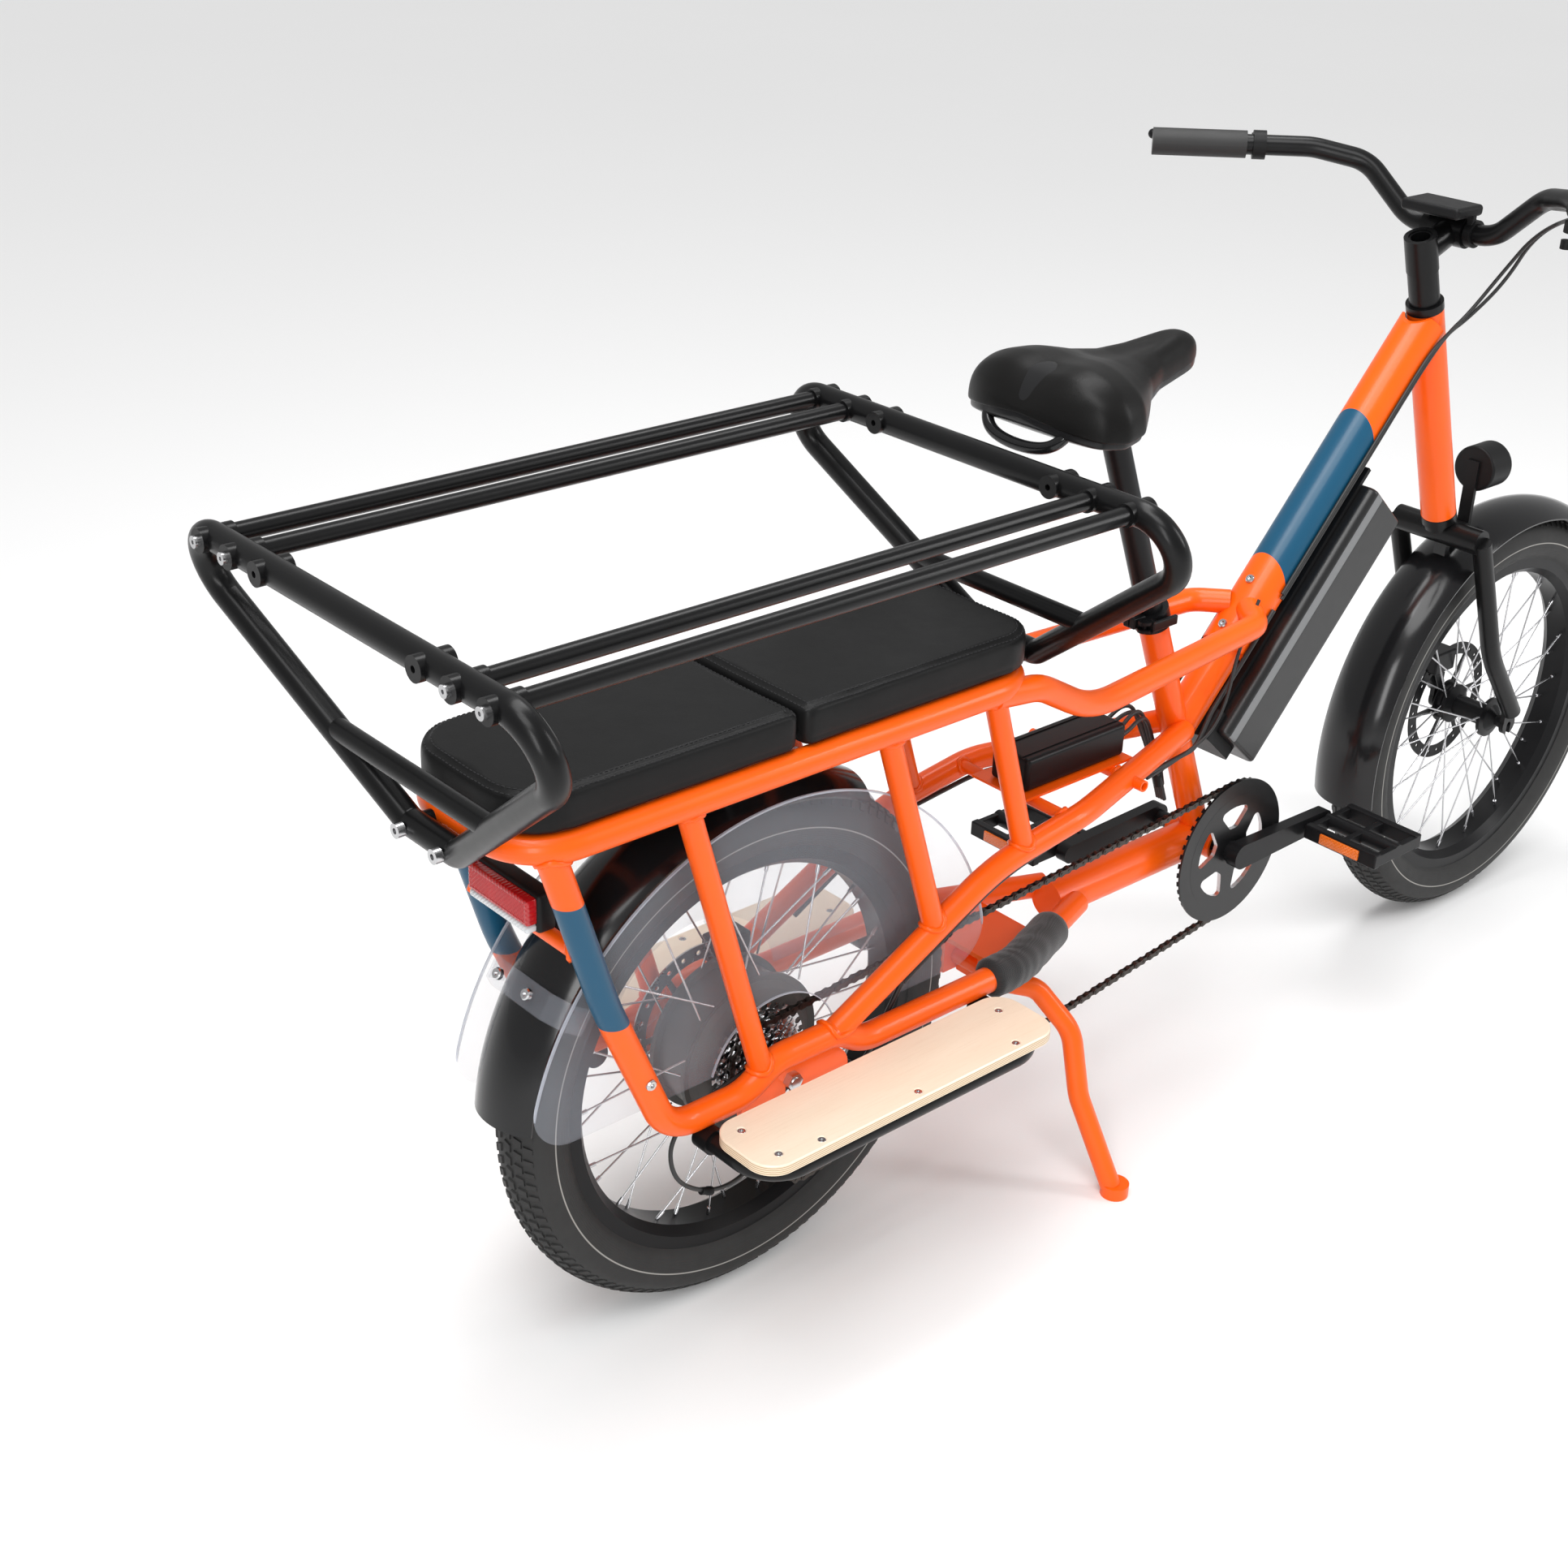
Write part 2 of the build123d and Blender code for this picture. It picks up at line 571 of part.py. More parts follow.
def make_spokes(x, flange_r, flange_y):
    """Crossed spokes from both hub flanges to the rim, each with its nipple."""
    with BuildPart() as spokes:
        for number in range(SPOKES):
            angle = 360 / SPOKES * number
            side = 1 if number % 2 else -1
            lead = SPOKE_LEAD if number % 4 < 2 else -SPOKE_LEAD
            layer = 0.0 if lead > 0 else 3.2
            low = math.radians(angle + lead)
            high = math.radians(angle)
            start_y = side * (flange_y + layer - 1.6)
            start = at(x + flange_r * math.cos(low), start_y, AXLE_Z + flange_r * math.sin(low))
            end_r = RIM_INNER_R - 0.2
            end = at(x + end_r * math.cos(high), side * (5 + layer), AXLE_Z + end_r * math.sin(high))
            bar(start, end, SPOKE_D)
            run = (end - start).normalized()
            bar(end - run * 11, end - run * 0.6, 4.4)
    return spokes


def cog_sketch(teeth, bore_r):
    """A sprocket: a disc with a roller seat cut at each pitch."""
    pitch_r = LINK_PITCH / 2 / math.sin(math.pi / teeth)
    Circle(pitch_r + 3.4)
    with PolarLocations(pitch_r, teeth):
        Circle(4.1, mode=Mode.SUBTRACT)
    with PolarLocations(pitch_r + 3.6, teeth):
        Circle(3.4, mode=Mode.SUBTRACT)
    if bore_r:
        Circle(bore_r, mode=Mode.SUBTRACT)


AXLE_R = 6.0
HUB_SHELL_R = 84.0
HUB_FLANGE_R = 92.0
HUB_HALF_W = 30.0
ROTOR_Y = 62.0
FREE_R = 17.0

rear_tyre = make_tyre(0)
save("rear_tyre", rear_tyre.part)
rear_rim = make_rim(0)
save("rear_rim", rear_rim.part)
rear_spokes = make_spokes(0, HUB_FLANGE_R + 1.5, 26)
save("rear_spokes", rear_spokes.part)

with BuildPart() as hub_motor:
    with BuildSketch(round_plane(0, AXLE_Z)):
        outline([
            (AXLE_R + FIT, -36), (13, -36), (13, -34), (60, -33), (HUB_SHELL_R - 8, -HUB_HALF_W),
            (HUB_SHELL_R, -26), (HUB_FLANGE_R, -29), (HUB_FLANGE_R, -23), (HUB_SHELL_R, -22),
            (HUB_SHELL_R, 22), (HUB_FLANGE_R, 23), (HUB_FLANGE_R, 29), (HUB_SHELL_R, 26),
            (HUB_SHELL_R - 8, HUB_HALF_W), (50, 34), (27, 40), (27, ROTOR_Y - 1), (AXLE_R + FIT, ROTOR_Y - 1),
        ])
    revolve(axis=spin_axis(0, AXLE_Z))
save("hub_motor", hub_motor.part)


def rotor_sketch(outer_r, bore_r):
    """A brake disc: an outer braking band with holes, six arms and a bolt ring."""
    Circle(outer_r)
    Circle(outer_r - 18, mode=Mode.SUBTRACT)
    with PolarLocations(0, 6):
        with Locations((outer_r - 45, 6)):
            Rectangle(62, 7)
    Circle(32)
    Circle(bore_r, mode=Mode.SUBTRACT)
    with PolarLocations(22, 6):
        Circle(2.6, mode=Mode.SUBTRACT)
    with PolarLocations(outer_r - 9, 24):
        Circle(2.8, mode=Mode.SUBTRACT)


ROTOR_R = 90.0
with BuildPart() as rear_rotor:
    with BuildSketch(side_plane(0, ROTOR_Y - 0.7, AXLE_Z)):
        rotor_sketch(ROTOR_R, 17)
    extrude(amount=-2)
    with BuildSketch(side_plane(0, ROTOR_Y + 1.3, AXLE_Z)):
        with PolarLocations(22, 6):
            Circle(4.2)
    extrude(amount=-2.5)
save("rear_rotor", rear_rotor.part)

with BuildPart() as cassette:
    for number, teeth in enumerate(COG_TEETH):
        y = CHAIN_Y + (2 - number) * COG_PITCH
        with BuildSketch(side_plane(0, y + 0.9, AXLE_Z)):
            cog_sketch(teeth, AXLE_R + FIT)
        extrude(amount=1.8)
    with BuildSketch(side_plane(0, CHAIN_Y + 2 * COG_PITCH + 3, AXLE_Z)):
        Circle(FREE_R)
        Circle(AXLE_R + FIT, mode=Mode.SUBTRACT)
    extrude(amount=6.5 * COG_PITCH + 4)
save("cassette", cassette.part)

with BuildPart() as rear_axle:
    bar(at(0, -104, AXLE_Z), at(0, 104, AXLE_Z), 2 * AXLE_R)
    for side in SIDES:
        with BuildSketch(side_plane(0, side * (DROPOUT_INNER_Y + DROPOUT_T), AXLE_Z)):
            RegularPolygon(10.5, 6)
        extrude(amount=-side * 9)
        bar(at(0, side * (DROPOUT_INNER_Y - 4), AXLE_Z), at(0, side * DROPOUT_INNER_Y, AXLE_Z), 22)
save("rear_axle", rear_axle.part)


# ---------------------------------------------------------------- chain and derailleur
def pitch_radius(teeth):
    return LINK_PITCH / 2 / math.sin(math.pi / teeth)


GUIDE_X = 14.0
GUIDE_Z = 224.0
TENSION_X = 62.0
TENSION_Z = 142.0


def belt_run(a, b):
    """The straight run from wheel a to wheel b; a wheel is (x, z, radius, turn), turn 1 to the left."""
    distance = math.hypot(b[0] - a[0], b[1] - a[1])
    heading = math.atan2(b[1] - a[1], b[0] - a[0])
    heading -= math.asin((b[3] * b[2] - a[3] * a[2]) / distance)
    nx, nz = -math.sin(heading), math.cos(heading)
    start = (a[0] - nx * a[3] * a[2], a[1] - nz * a[3] * a[2])
    end = (b[0] - nx * b[3] * b[2], b[1] - nz * b[3] * b[2])
    return start, end


def arc_middle(wheel, start, end):
    """The point half way round a wheel between the belt's arrival and departure."""
    first = math.atan2(start[1] - wheel[1], start[0] - wheel[0])
    last = math.atan2(end[1] - wheel[1], end[0] - wheel[0])
    half = first + ((last - first) * wheel[3]) % (2 * math.pi) * wheel[3] / 2
    return (wheel[0] + wheel[2] * math.cos(half), wheel[1] + wheel[2] * math.sin(half))


BELT = (
    (BB_X, BB_Z, pitch_radius(RING_TEETH), 1),
    (0.0, AXLE_Z, pitch_radius(DRIVE_COG), 1),
    (GUIDE_X, GUIDE_Z, pitch_radius(PULLEY_TEETH), -1),
    (TENSION_X, TENSION_Z, pitch_radius(PULLEY_TEETH), 1),
)
BELT_RUNS = [belt_run(BELT[n], BELT[(n + 1) % 4]) for n in range(4)]
PLATE_HALF = 4.0
PLATE_T = 1.1
PLATE_GAP = 1.6
PIN_CLEAR = 36.0


def chain_loop():
    """The chain's pitch line: four straight runs and an arc round each wheel."""
    for number in range(4):
        start, end = BELT_RUNS[number]
        Line(start, end)
        wheel = BELT[(number + 1) % 4]
        leave = BELT_RUNS[(number + 1) % 4][0]
        ThreePointArc(end, arc_middle(wheel, end, leave), leave)


def chain_ribbon():
    """The band that the side plates cover, PLATE_HALF each side of the pitch line."""
    with BuildSketch() as inner:
        with BuildLine():
            chain_loop()
        make_face()
    with BuildSketch() as band:
        offset(inner.sketch, amount=PLATE_HALF)
        offset(inner.sketch, amount=-PLATE_HALF, mode=Mode.SUBTRACT)
    return band.sketch


def pins_along(run):
    """Pin places along a straight run, clear of the teeth at both ends."""
    (ax, az), (bx, bz) = run
    length = math.hypot(bx - ax, bz - az)
    count = int((length - 2 * PIN_CLEAR) // LINK_PITCH)
    first = (length - count * LINK_PITCH) / 2
    steps = [(first + LINK_PITCH * n) / length for n in range(count + 1)]
    return [(ax + (bx - ax) * t, az + (bz - az) * t) for t in steps]


CHAIN_RIBBON = chain_ribbon()
with BuildPart() as chain:
    for side in SIDES:
        low = PLATE_GAP if side > 0 else -PLATE_GAP - PLATE_T
        with BuildSketch(side_plane(0, CHAIN_Y + low, 0)):
            add(CHAIN_RIBBON)
        extrude(amount=-PLATE_T)
    with BuildSketch(side_plane(0, CHAIN_Y - PLATE_GAP - PLATE_T - 0.6, 0)):
        with Locations(*pins_along(BELT_RUNS[0]), *pins_along(BELT_RUNS[3])):
            Circle(1.9)
    extrude(amount=-2 * (PLATE_GAP + PLATE_T + 0.6))
save("chain", chain.part)

CAGE_T = 2.0
CAGE_INNER = CHAIN_Y + 4.6
CAGE_OUTER = CHAIN_Y - 4.6
with BuildPart() as derailleur_cage:
    for y in (CAGE_INNER, CAGE_OUTER - CAGE_T):
        with BuildSketch(side_plane(0, y + CAGE_T, 0)):
            with Locations(((GUIDE_X + TENSION_X) / 2, (GUIDE_Z + TENSION_Z) / 2)):
                SlotCenterToCenter(math.hypot(TENSION_X - GUIDE_X, TENSION_Z - GUIDE_Z), 21,
                                   rotation=math.degrees(math.atan2(TENSION_Z - GUIDE_Z, TENSION_X - GUIDE_X)))
        extrude(amount=CAGE_T)
    for x, z in ((GUIDE_X, GUIDE_Z), (TENSION_X, TENSION_Z)):
        bar(at(x, CAGE_OUTER - CAGE_T - 1, z), at(x, CAGE_INNER + CAGE_T + 1, z), 5)
save("derailleur_cage", derailleur_cage.part)


def make_pulley(x, z):
    with BuildPart() as pulley:
        with BuildSketch(side_plane(x, CHAIN_Y + 0.9, z)):
            cog_sketch(PULLEY_TEETH, 2.5 + FIT)
            with PolarLocations(11, 5):
                Circle(3, mode=Mode.SUBTRACT)
        extrude(amount=1.8)
        with BuildSketch(side_plane(x, CHAIN_Y + 3.6, z)):
            Circle(6)
            Circle(2.5 + FIT, mode=Mode.SUBTRACT)
        extrude(amount=7.2)
    return pulley


guide_pulley = make_pulley(GUIDE_X, GUIDE_Z)
save("guide_pulley", guide_pulley.part)
tension_pulley = make_pulley(TENSION_X, TENSION_Z)
save("tension_pulley", tension_pulley.part)

with BuildPart() as derailleur_body:
    bar(at(2, -DROPOUT_INNER_Y - DROPOUT_T, 268), at(2, -DROPOUT_INNER_Y - DROPOUT_T - 10, 268), 18)
    block(at(-8, -94, 240), at(12, -100, 272), 2)
    block(at(-2, -97, 226), at(26, -62, 250), 3)
    bar(at(GUIDE_X, -97, GUIDE_Z + 4), at(GUIDE_X, CAGE_OUTER - CAGE_T - 1.6, GUIDE_Z + 4), 22)
save("derailleur_body", derailleur_body.part)


# ---------------------------------------------------------------- cranks and pedals
RING_ARMS = 5
WINDOW_EDGE_R = 63.0
WINDOW_HALF = 27.0


def window_corners():
    """The corners of one window between two arms: a wide arc outside and a narrow one inside."""
    corners = []
    for number in range(7):
        angle = math.radians(WINDOW_HALF * (number / 3 - 1))
        corners.append((WINDOW_EDGE_R * math.cos(angle), WINDOW_EDGE_R * math.sin(angle)))
    for angle in (12, -12):
        corners.append((33 * math.cos(math.radians(angle)), 33 * math.sin(math.radians(angle))))
    return corners


with BuildPart() as chainring:
    with BuildSketch(side_plane(BB_X, CHAIN_Y + 0.9, BB_Z)):
        cog_sketch(RING_TEETH, 66)
    extrude(amount=1.8)
    with BuildSketch(side_plane(BB_X, CHAIN_Y - 3.4, BB_Z)):
        Circle(pitch_radius(RING_TEETH) + 5.2)
        Circle(70, mode=Mode.SUBTRACT)
    extrude(amount=2.6)
    with BuildSketch(side_plane(BB_X, CHAIN_Y - 0.9, BB_Z)):
        Circle(78)
        Circle(14.2, mode=Mode.SUBTRACT)
        with BuildSketch(mode=Mode.SUBTRACT) as windows:
            with PolarLocations(0, RING_ARMS, start_angle=90):
                Polygon(*window_corners(), align=None)
            fillet(windows.vertices(), 6)
    extrude(amount=5.2)
save("chainring", chainring.part)

CRANK_INNER_Y = 62.0
CRANK_T = 16.0
with BuildPart() as cranks:
    bar(at(BB_X, -CRANK_INNER_Y - 4, BB_Z), at(BB_X, CRANK_INNER_Y + 4, BB_Z), 20)
    bar(at(BB_X, CHAIN_Y + 1, BB_Z), at(BB_X, -CRANK_INNER_Y, BB_Z), 28)
    for side in SIDES:
        way = -side
        with BuildSketch(side_plane(BB_X, side * CRANK_INNER_Y, BB_Z)):
            outline([(0, 17), (way * CRANK_LENGTH, 12.5), (way * CRANK_LENGTH, -12.5), (0, -17)])
            Circle(17)
            with Locations((way * CRANK_LENGTH, 0)):
                Circle(12.5)
        extrude(amount=-side * CRANK_T)
        pedal_x = BB_X + way * CRANK_LENGTH
        bar(at(pedal_x, side * (CRANK_INNER_Y + CRANK_T), BB_Z), at(pedal_x, side * (PEDAL_Y + 44), BB_Z), 9)
save("cranks", cranks.part)


def make_pedal(side):
    """A platform pedal: a cage of four bars round a sleeve on the axle."""
    x = BB_X - side * CRANK_LENGTH
    inner = side * (CRANK_INNER_Y + CRANK_T + 3)
    outer = side * (PEDAL_Y + 47)
    with BuildPart() as pedal:
        bar(at(x, inner, BB_Z), at(x, outer, BB_Z), 20)
        for end in (-1, 1):
            block(at(x + end * 38, inner, BB_Z - 10), at(x + end * 50, outer, BB_Z + 10), 2)
        for y in (inner, (inner + outer) / 2 - side * 4, outer - side * 8):
            block(at(x - 46, y, BB_Z - 8), at(x + 46, y + side * 8, BB_Z + 8), 1)
        bar(at(x, side * 60, BB_Z), at(x, side * (PEDAL_Y + 44.3), BB_Z), 9 + 2 * FIT, mode=Mode.SUBTRACT)
    return pedal


for side in SIDES:
    pedal = make_pedal(side)
    save(f"{side_name(side)}_pedal", pedal.part)


# ---------------------------------------------------------------- kickstand
def stand_route(side):
    return [
        at(STAND_X + 3, side * 50, STAND_Z - 3),
        at(STAND_X + 34, side * 72, STAND_Z - 12),
        at(STAND_X + 58, side * 112, STAND_Z - 62),
        at(STAND_X + 52, side * 138, 120),
        at(STAND_FOOT_X - 4, side * (STAND_FOOT_Y - 4), 12),
    ]


with BuildPart() as kickstand:
    bar(at(STAND_X, -60, STAND_Z), at(STAND_X, 60, STAND_Z), 12)
    for side in SIDES:
        bar(at(STAND_X, side * 26.5, STAND_Z), at(STAND_X, -side * 5, STAND_Z), 22)
    block(at(STAND_X - 4, -26, STAND_Z - 20), at(STAND_X + 16, 26, STAND_Z - 4), 3)
    for side in SIDES:
        bar(at(STAND_X, side * 35.5, STAND_Z), at(STAND_X, side * 60, STAND_Z), 22)
        tube(stand_route(side), STAND_D, 0, (30, 60, 80))
        bar(at(STAND_FOOT_X, side * STAND_FOOT_Y, 0), at(STAND_FOOT_X, side * STAND_FOOT_Y, 16), 34)
save("kickstand", kickstand.part)


# ---------------------------------------------------------------- fenders, skirts and lights
FENDER_R = 322.0
FENDER_T = 2.2
FENDER_HALF_W = 48.0


def make_fender(x, first, last):
    """An arched mudguard over a wheel, from angle first to angle last (degrees, 0 forward, 90 up)."""
    with BuildPart() as fender:
        with BuildSketch(Plane(origin=at(x, 0, AXLE_Z), x_dir=(1, 0, 0), z_dir=(0, 0, 1))) as section:
            with BuildLine() as arch:
                ThreePointArc((FENDER_R - 20, -FENDER_HALF_W), (FENDER_R, 0), (FENDER_R - 20, FENDER_HALF_W))
                Line((FENDER_R - 20, FENDER_HALF_W), (FENDER_R - 20 - FENDER_T, FENDER_HALF_W - 0.6))
                ThreePointArc((FENDER_R - 20 - FENDER_T, FENDER_HALF_W - 0.6), (FENDER_R - FENDER_T, 0),
                              (FENDER_R - 20 - FENDER_T, 0.6 - FENDER_HALF_W))
                Line((FENDER_R - 20 - FENDER_T, 0.6 - FENDER_HALF_W), (FENDER_R - 20, -FENDER_HALF_W))
            make_face()
        turned = section.sketch.rotate(Axis(at(x, 0, AXLE_Z), (0, 1, 0)), -first)
        revolve(turned, axis=Axis(at(x, 0, AXLE_Z), (0, -1, 0)), revolution_arc=last - first)
    return fender


rear_fender = make_fender(0, 62, 174)
save("rear_fender", rear_fender.part)

SKIRT_Y = 66.0
SKIRT_T = 2.5
SKIRT_R = 318.0
with BuildPart() as wheel_skirts:
    for side in SIDES:
        with BuildSketch(side_plane(0, side * SKIRT_Y, AXLE_Z)) as panel:
            Circle(SKIRT_R)
            with Locations((0, -SKIRT_R + 24)):
                Rectangle(3 * SKIRT_R, 2 * SKIRT_R, mode=Mode.SUBTRACT)
            fillet(panel.vertices(), 45)
            Circle(118 if side > 0 else 88, mode=Mode.SUBTRACT)
        extrude(amount=-side * SKIRT_T)
save("wheel_skirts", wheel_skirts.part)

BRACKET_ANGLE = 148.0
with BuildPart() as skirt_brackets:
    spot = math.radians(BRACKET_ANGLE)
    radius = FENDER_R + 1.7
    cx, cz = radius * math.cos(spot), AXLE_Z + radius * math.sin(spot)
    strap = Plane(origin=at(cx, 0, cz), x_dir=(0, 1, 0), z_dir=(math.sin(spot), 0, -math.cos(spot)))
    with BuildSketch(strap.offset(-14)):
        outline([(-40, 1.5), (40, 1.5), (SKIRT_Y - GAP, -12), (SKIRT_Y - GAP, -36), (SKIRT_Y - 2.4, -36),
                 (SKIRT_Y - 2.4, -13.5), (39, -1), (-39, -1), (2.4 - SKIRT_Y, -13.5), (2.4 - SKIRT_Y, -36),
                 (GAP - SKIRT_Y, -36), (GAP - SKIRT_Y, -12)])
    extrude(amount=28)
    for side in SIDES:
        for x, z in ((162.8, 540), (-96.8, 520)):
            with BuildPart(mode=Mode.PRIVATE) as standoff:
                bar(at(x, side * (SKIRT_Y + SKIRT_T + 0.1), z), at(x, side * STAY_Y, z), 11)
                for top_x, foot_x, foot_z in STRUT_ENDS:
                    bar(at(top_x, side * STAY_Y, DECK_Z - 4), at(foot_x, side * STAY_Y, foot_z), STRUT_D,
                        mode=Mode.SUBTRACT)
            add(standoff.part)
    with BuildPart(mode=Mode.PRIVATE) as hanger:
        block(at(55, -9, AXLE_Z + 300), at(65, 9, DECK_Z))
        bar(at(60, -20, DECK_Z), at(60, 20, DECK_Z), 20, mode=Mode.SUBTRACT)
        bar(at(0, -30, AXLE_Z), at(0, 30, AXLE_Z), 2 * FENDER_R + 0.6, mode=Mode.SUBTRACT)
    add(hanger.part)
save("skirt_brackets", skirt_brackets.part)

LIGHT_X = -281.0
LIGHT_Z = 583.0
with BuildPart() as taillight:
    block(at(LIGHT_X - 8, -52, LIGHT_Z - 20), at(LIGHT_X + 14, 52, LIGHT_Z + 22), 4)
    block(at(LIGHT_X - 20, -49, LIGHT_Z - 17), at(LIGHT_X - 8, 49, LIGHT_Z + 19), 3)
    block(at(LIGHT_X + 6, -10, 560.4), at(LIGHT_X + 18, 10, LIGHT_Z - 10), 1)
    bar(at(-268, -STAY_Y, 552), at(-268, STAY_Y, 552), 16.6, mode=Mode.SUBTRACT)
save("taillight", taillight.part)

# ---------------------------------------------------------------- electrics on the frame
BOX_TOP_Z = 530.0
with BuildPart() as controller_box:
    block(at(404, -32, 488.3), at(574, 26, BOX_TOP_Z), 6)
    for y in (-23, 12):
        block(at(400, y, BOX_TOP_Z - 1.5), at(580, y + 4, BOX_TOP_Z + 2), mode=Mode.SUBTRACT)
save("controller_box", controller_box.part)


def main_plane(run, drop):
    """A plane across the main tube's line: local X is down away from it, local Y is the bicycle's Y."""
    up = along_main(1) - along_main(0)
    down = along_main(0, 1) - along_main(0)
    return Plane(origin=along_main(run, drop), x_dir=down, z_dir=up)


BATTERY_START = main_run(512) - 28.0
with BuildPart() as battery_cradle:
    with BuildSketch(main_plane(BATTERY_START - 16, 0)):
        with Locations((BATTERY_DROP + 25, 0)):
            RectangleRounded(72, 62, 8)
    extrude(amount=40)
    with BuildSketch(main_plane(BATTERY_START, 0)):
        with Locations((BATTERY_DROP - 1.2, 0)):
            Rectangle(6, 50)
    extrude(amount=BATTERY_LENGTH + 20)
    with BuildSketch(main_plane(BATTERY_START, 0)):
        with Locations((BATTERY_DROP + 50, 0)):
            Rectangle(96, 120)
    extrude(amount=BATTERY_LENGTH + 60, mode=Mode.SUBTRACT)
    with BuildSketch(main_plane(BATTERY_START, 0)):
        with Locations((BATTERY_DROP - 1.2, 0)):
            Rectangle(5, 46)
    extrude(amount=BATTERY_LENGTH + 20)
    bar(along_main(-300), along_main(500), MAIN_TUBE_D + 0.1, mode=Mode.SUBTRACT)
save("battery_cradle", battery_cradle.part)

with BuildPart() as battery_pack:
    with BuildSketch(main_plane(BATTERY_START + 0.4, 0)) as section:
        with Locations((BATTERY_DROP + 3 + BATTERY_DEPTH / 2, 0)):
            Rectangle(BATTERY_DEPTH, 2 * BATTERY_HALF_W)
        fillet(section.vertices(), 12)
    extrude(amount=BATTERY_LENGTH)
    fillet(battery_pack.edges().filter_by(GeomType.LINE, reverse=True), 5)
save("battery_pack", battery_pack.part)

WRAP_GROWTH = 17.0
WRAP_START_X = 301.0
WRAP_END_X = 460.0
with BuildPart() as kickstand_sleeve:
    tube(side_route(-1), STAY_D + WRAP_GROWTH, 0, SIDE_BENDS)
    tube(side_route(-1), STAY_D + 0.6, 0, SIDE_BENDS, mode=Mode.SUBTRACT)
    block(at(WRAP_START_X, -200, 200), at(WRAP_END_X, 0, 420), mode=Mode.INTERSECT)
    add(yoke_plate(GAP), mode=Mode.SUBTRACT)
    bar(at(BEAM_END_X - 2, 0, BB_Z + 2), at(BB_X, 0, BB_Z), BEAM_D + 0.6, mode=Mode.SUBTRACT)
save("kickstand_sleeve", kickstand_sleeve.part)

# ---------------------------------------------------------------- seat
CLAMP_BOLT_X = -33.0
LEVER_HINGE_Y = -18.5
with BuildPart() as seat_collar:
    ear = seat_axis(SEAT_TUBE_TOP_Z - 3)
    rod = ear + Vector(CLAMP_BOLT_X, 0, 0)
    hinge = rod + Vector(0, LEVER_HINGE_Y, 0)
    bar(seat_axis(SEAT_TUBE_TOP_Z - 14), seat_axis(SEAT_TUBE_TOP_Z + 8), SEAT_TUBE_D + 9)
    block(ear + Vector(-40, -9, -7), ear + Vector(-19.5, 9, 7), 2)
    bar(seat_axis(SEAT_TUBE_TOP_Z - 40), seat_axis(SEAT_TUBE_TOP_Z), SEAT_TUBE_D, mode=Mode.SUBTRACT)
    bar(seat_axis(SEAT_TUBE_TOP_Z - 40), seat_axis(SEAT_TUBE_TOP_Z + 40), SEAT_POST_D + 0.4, mode=Mode.SUBTRACT)
    block(ear + Vector(-60, -1, -20), ear + Vector(0, 1, 20), mode=Mode.SUBTRACT)
    bar(rod + Vector(0, 14, 0), hinge, 6)
    bar(rod + Vector(0, 9, 0), rod + Vector(0, 15, 0), 13)
    bar(hinge - Vector(0, 0, 8), hinge + Vector(0, 0, 8), 5)
save("seat_collar", seat_collar.part)

with BuildPart() as seat_lever:
    for low in (-7, 3.4):
        bar(hinge + Vector(0, 0, low), hinge + Vector(0, 0, low + 3.6), 17)
    block(hinge + Vector(3.6, -10, -7), hinge + Vector(8, 3, 7))
    block(hinge + Vector(4, -10.5, -6), hinge + Vector(48, -5, 6), 2)
    bar(hinge - Vector(0, 0, 12), hinge + Vector(0, 0, 12), 5 + 2 * FIT, mode=Mode.SUBTRACT)
save("seat_lever", seat_lever.part)

with BuildPart() as seat_post:
    bar(seat_axis(485), seat_axis(915), SEAT_POST_D, 2.6)
    clamp = seat_axis(925)
    block(clamp + Vector(-20, -28, -12), clamp + Vector(20, 28, 3.3), 3)
    block(clamp + Vector(-18, -28, 10.7), clamp + Vector(18, 28, 15.5), 2)
    bar(clamp + Vector(0, 0, 2), clamp + Vector(0, 0, 12), 8)
    bar(seat_axis(905), seat_axis(920), SEAT_POST_D)
save("seat_post", seat_post.part)


def saddle_section(x, half_w, top_z, edge_z):
    """A saddle cross-section at x: a flat-bottomed dome."""
    with BuildSketch(Plane(origin=at(x, 0, 0), x_dir=(0, 1, 0), z_dir=(1, 0, 0))) as section:
        with BuildLine() as edge:
            Line((half_w, edge_z), (-half_w, edge_z))
            Spline((-half_w, edge_z), (-half_w * 0.72, (2 * top_z + edge_z) / 3 + 4), (0, top_z),
                   (half_w * 0.72, (2 * top_z + edge_z) / 3 + 4), (half_w, edge_z))
        make_face(edge.edges())
    return section.sketch


with BuildPart() as saddle:
    sections = [
        saddle_section(372, 78, 972, 938),
        saddle_section(395, 106, 990, 936),
        saddle_section(440, 112, 991, 938),
        saddle_section(500, 76, 983, 945),
        saddle_section(560, 36, 984, 951),
        saddle_section(620, 27, 991, 957),
        saddle_section(652, 20, 987, 964),
    ]
    loft(sections)
    for side in SIDES:
        rail = [
            at(410, side * 34, 941), at(450, side * 24, 932),
            at(560, side * 22, 932), at(600, side * 12, 956),
        ]
        tube(rail, 7, 0, (40, 30))
save("saddle", saddle.part)

# ---------------------------------------------------------------- steering
steer_axis = (head_axis(900) - head_axis(800)).normalized()
crown = head_axis(CROWN_Z)
CUP_H = 10.0
LEG_Y = 66.0
LEG_D = 26.0
FRONT_HUB_Y = 56.0


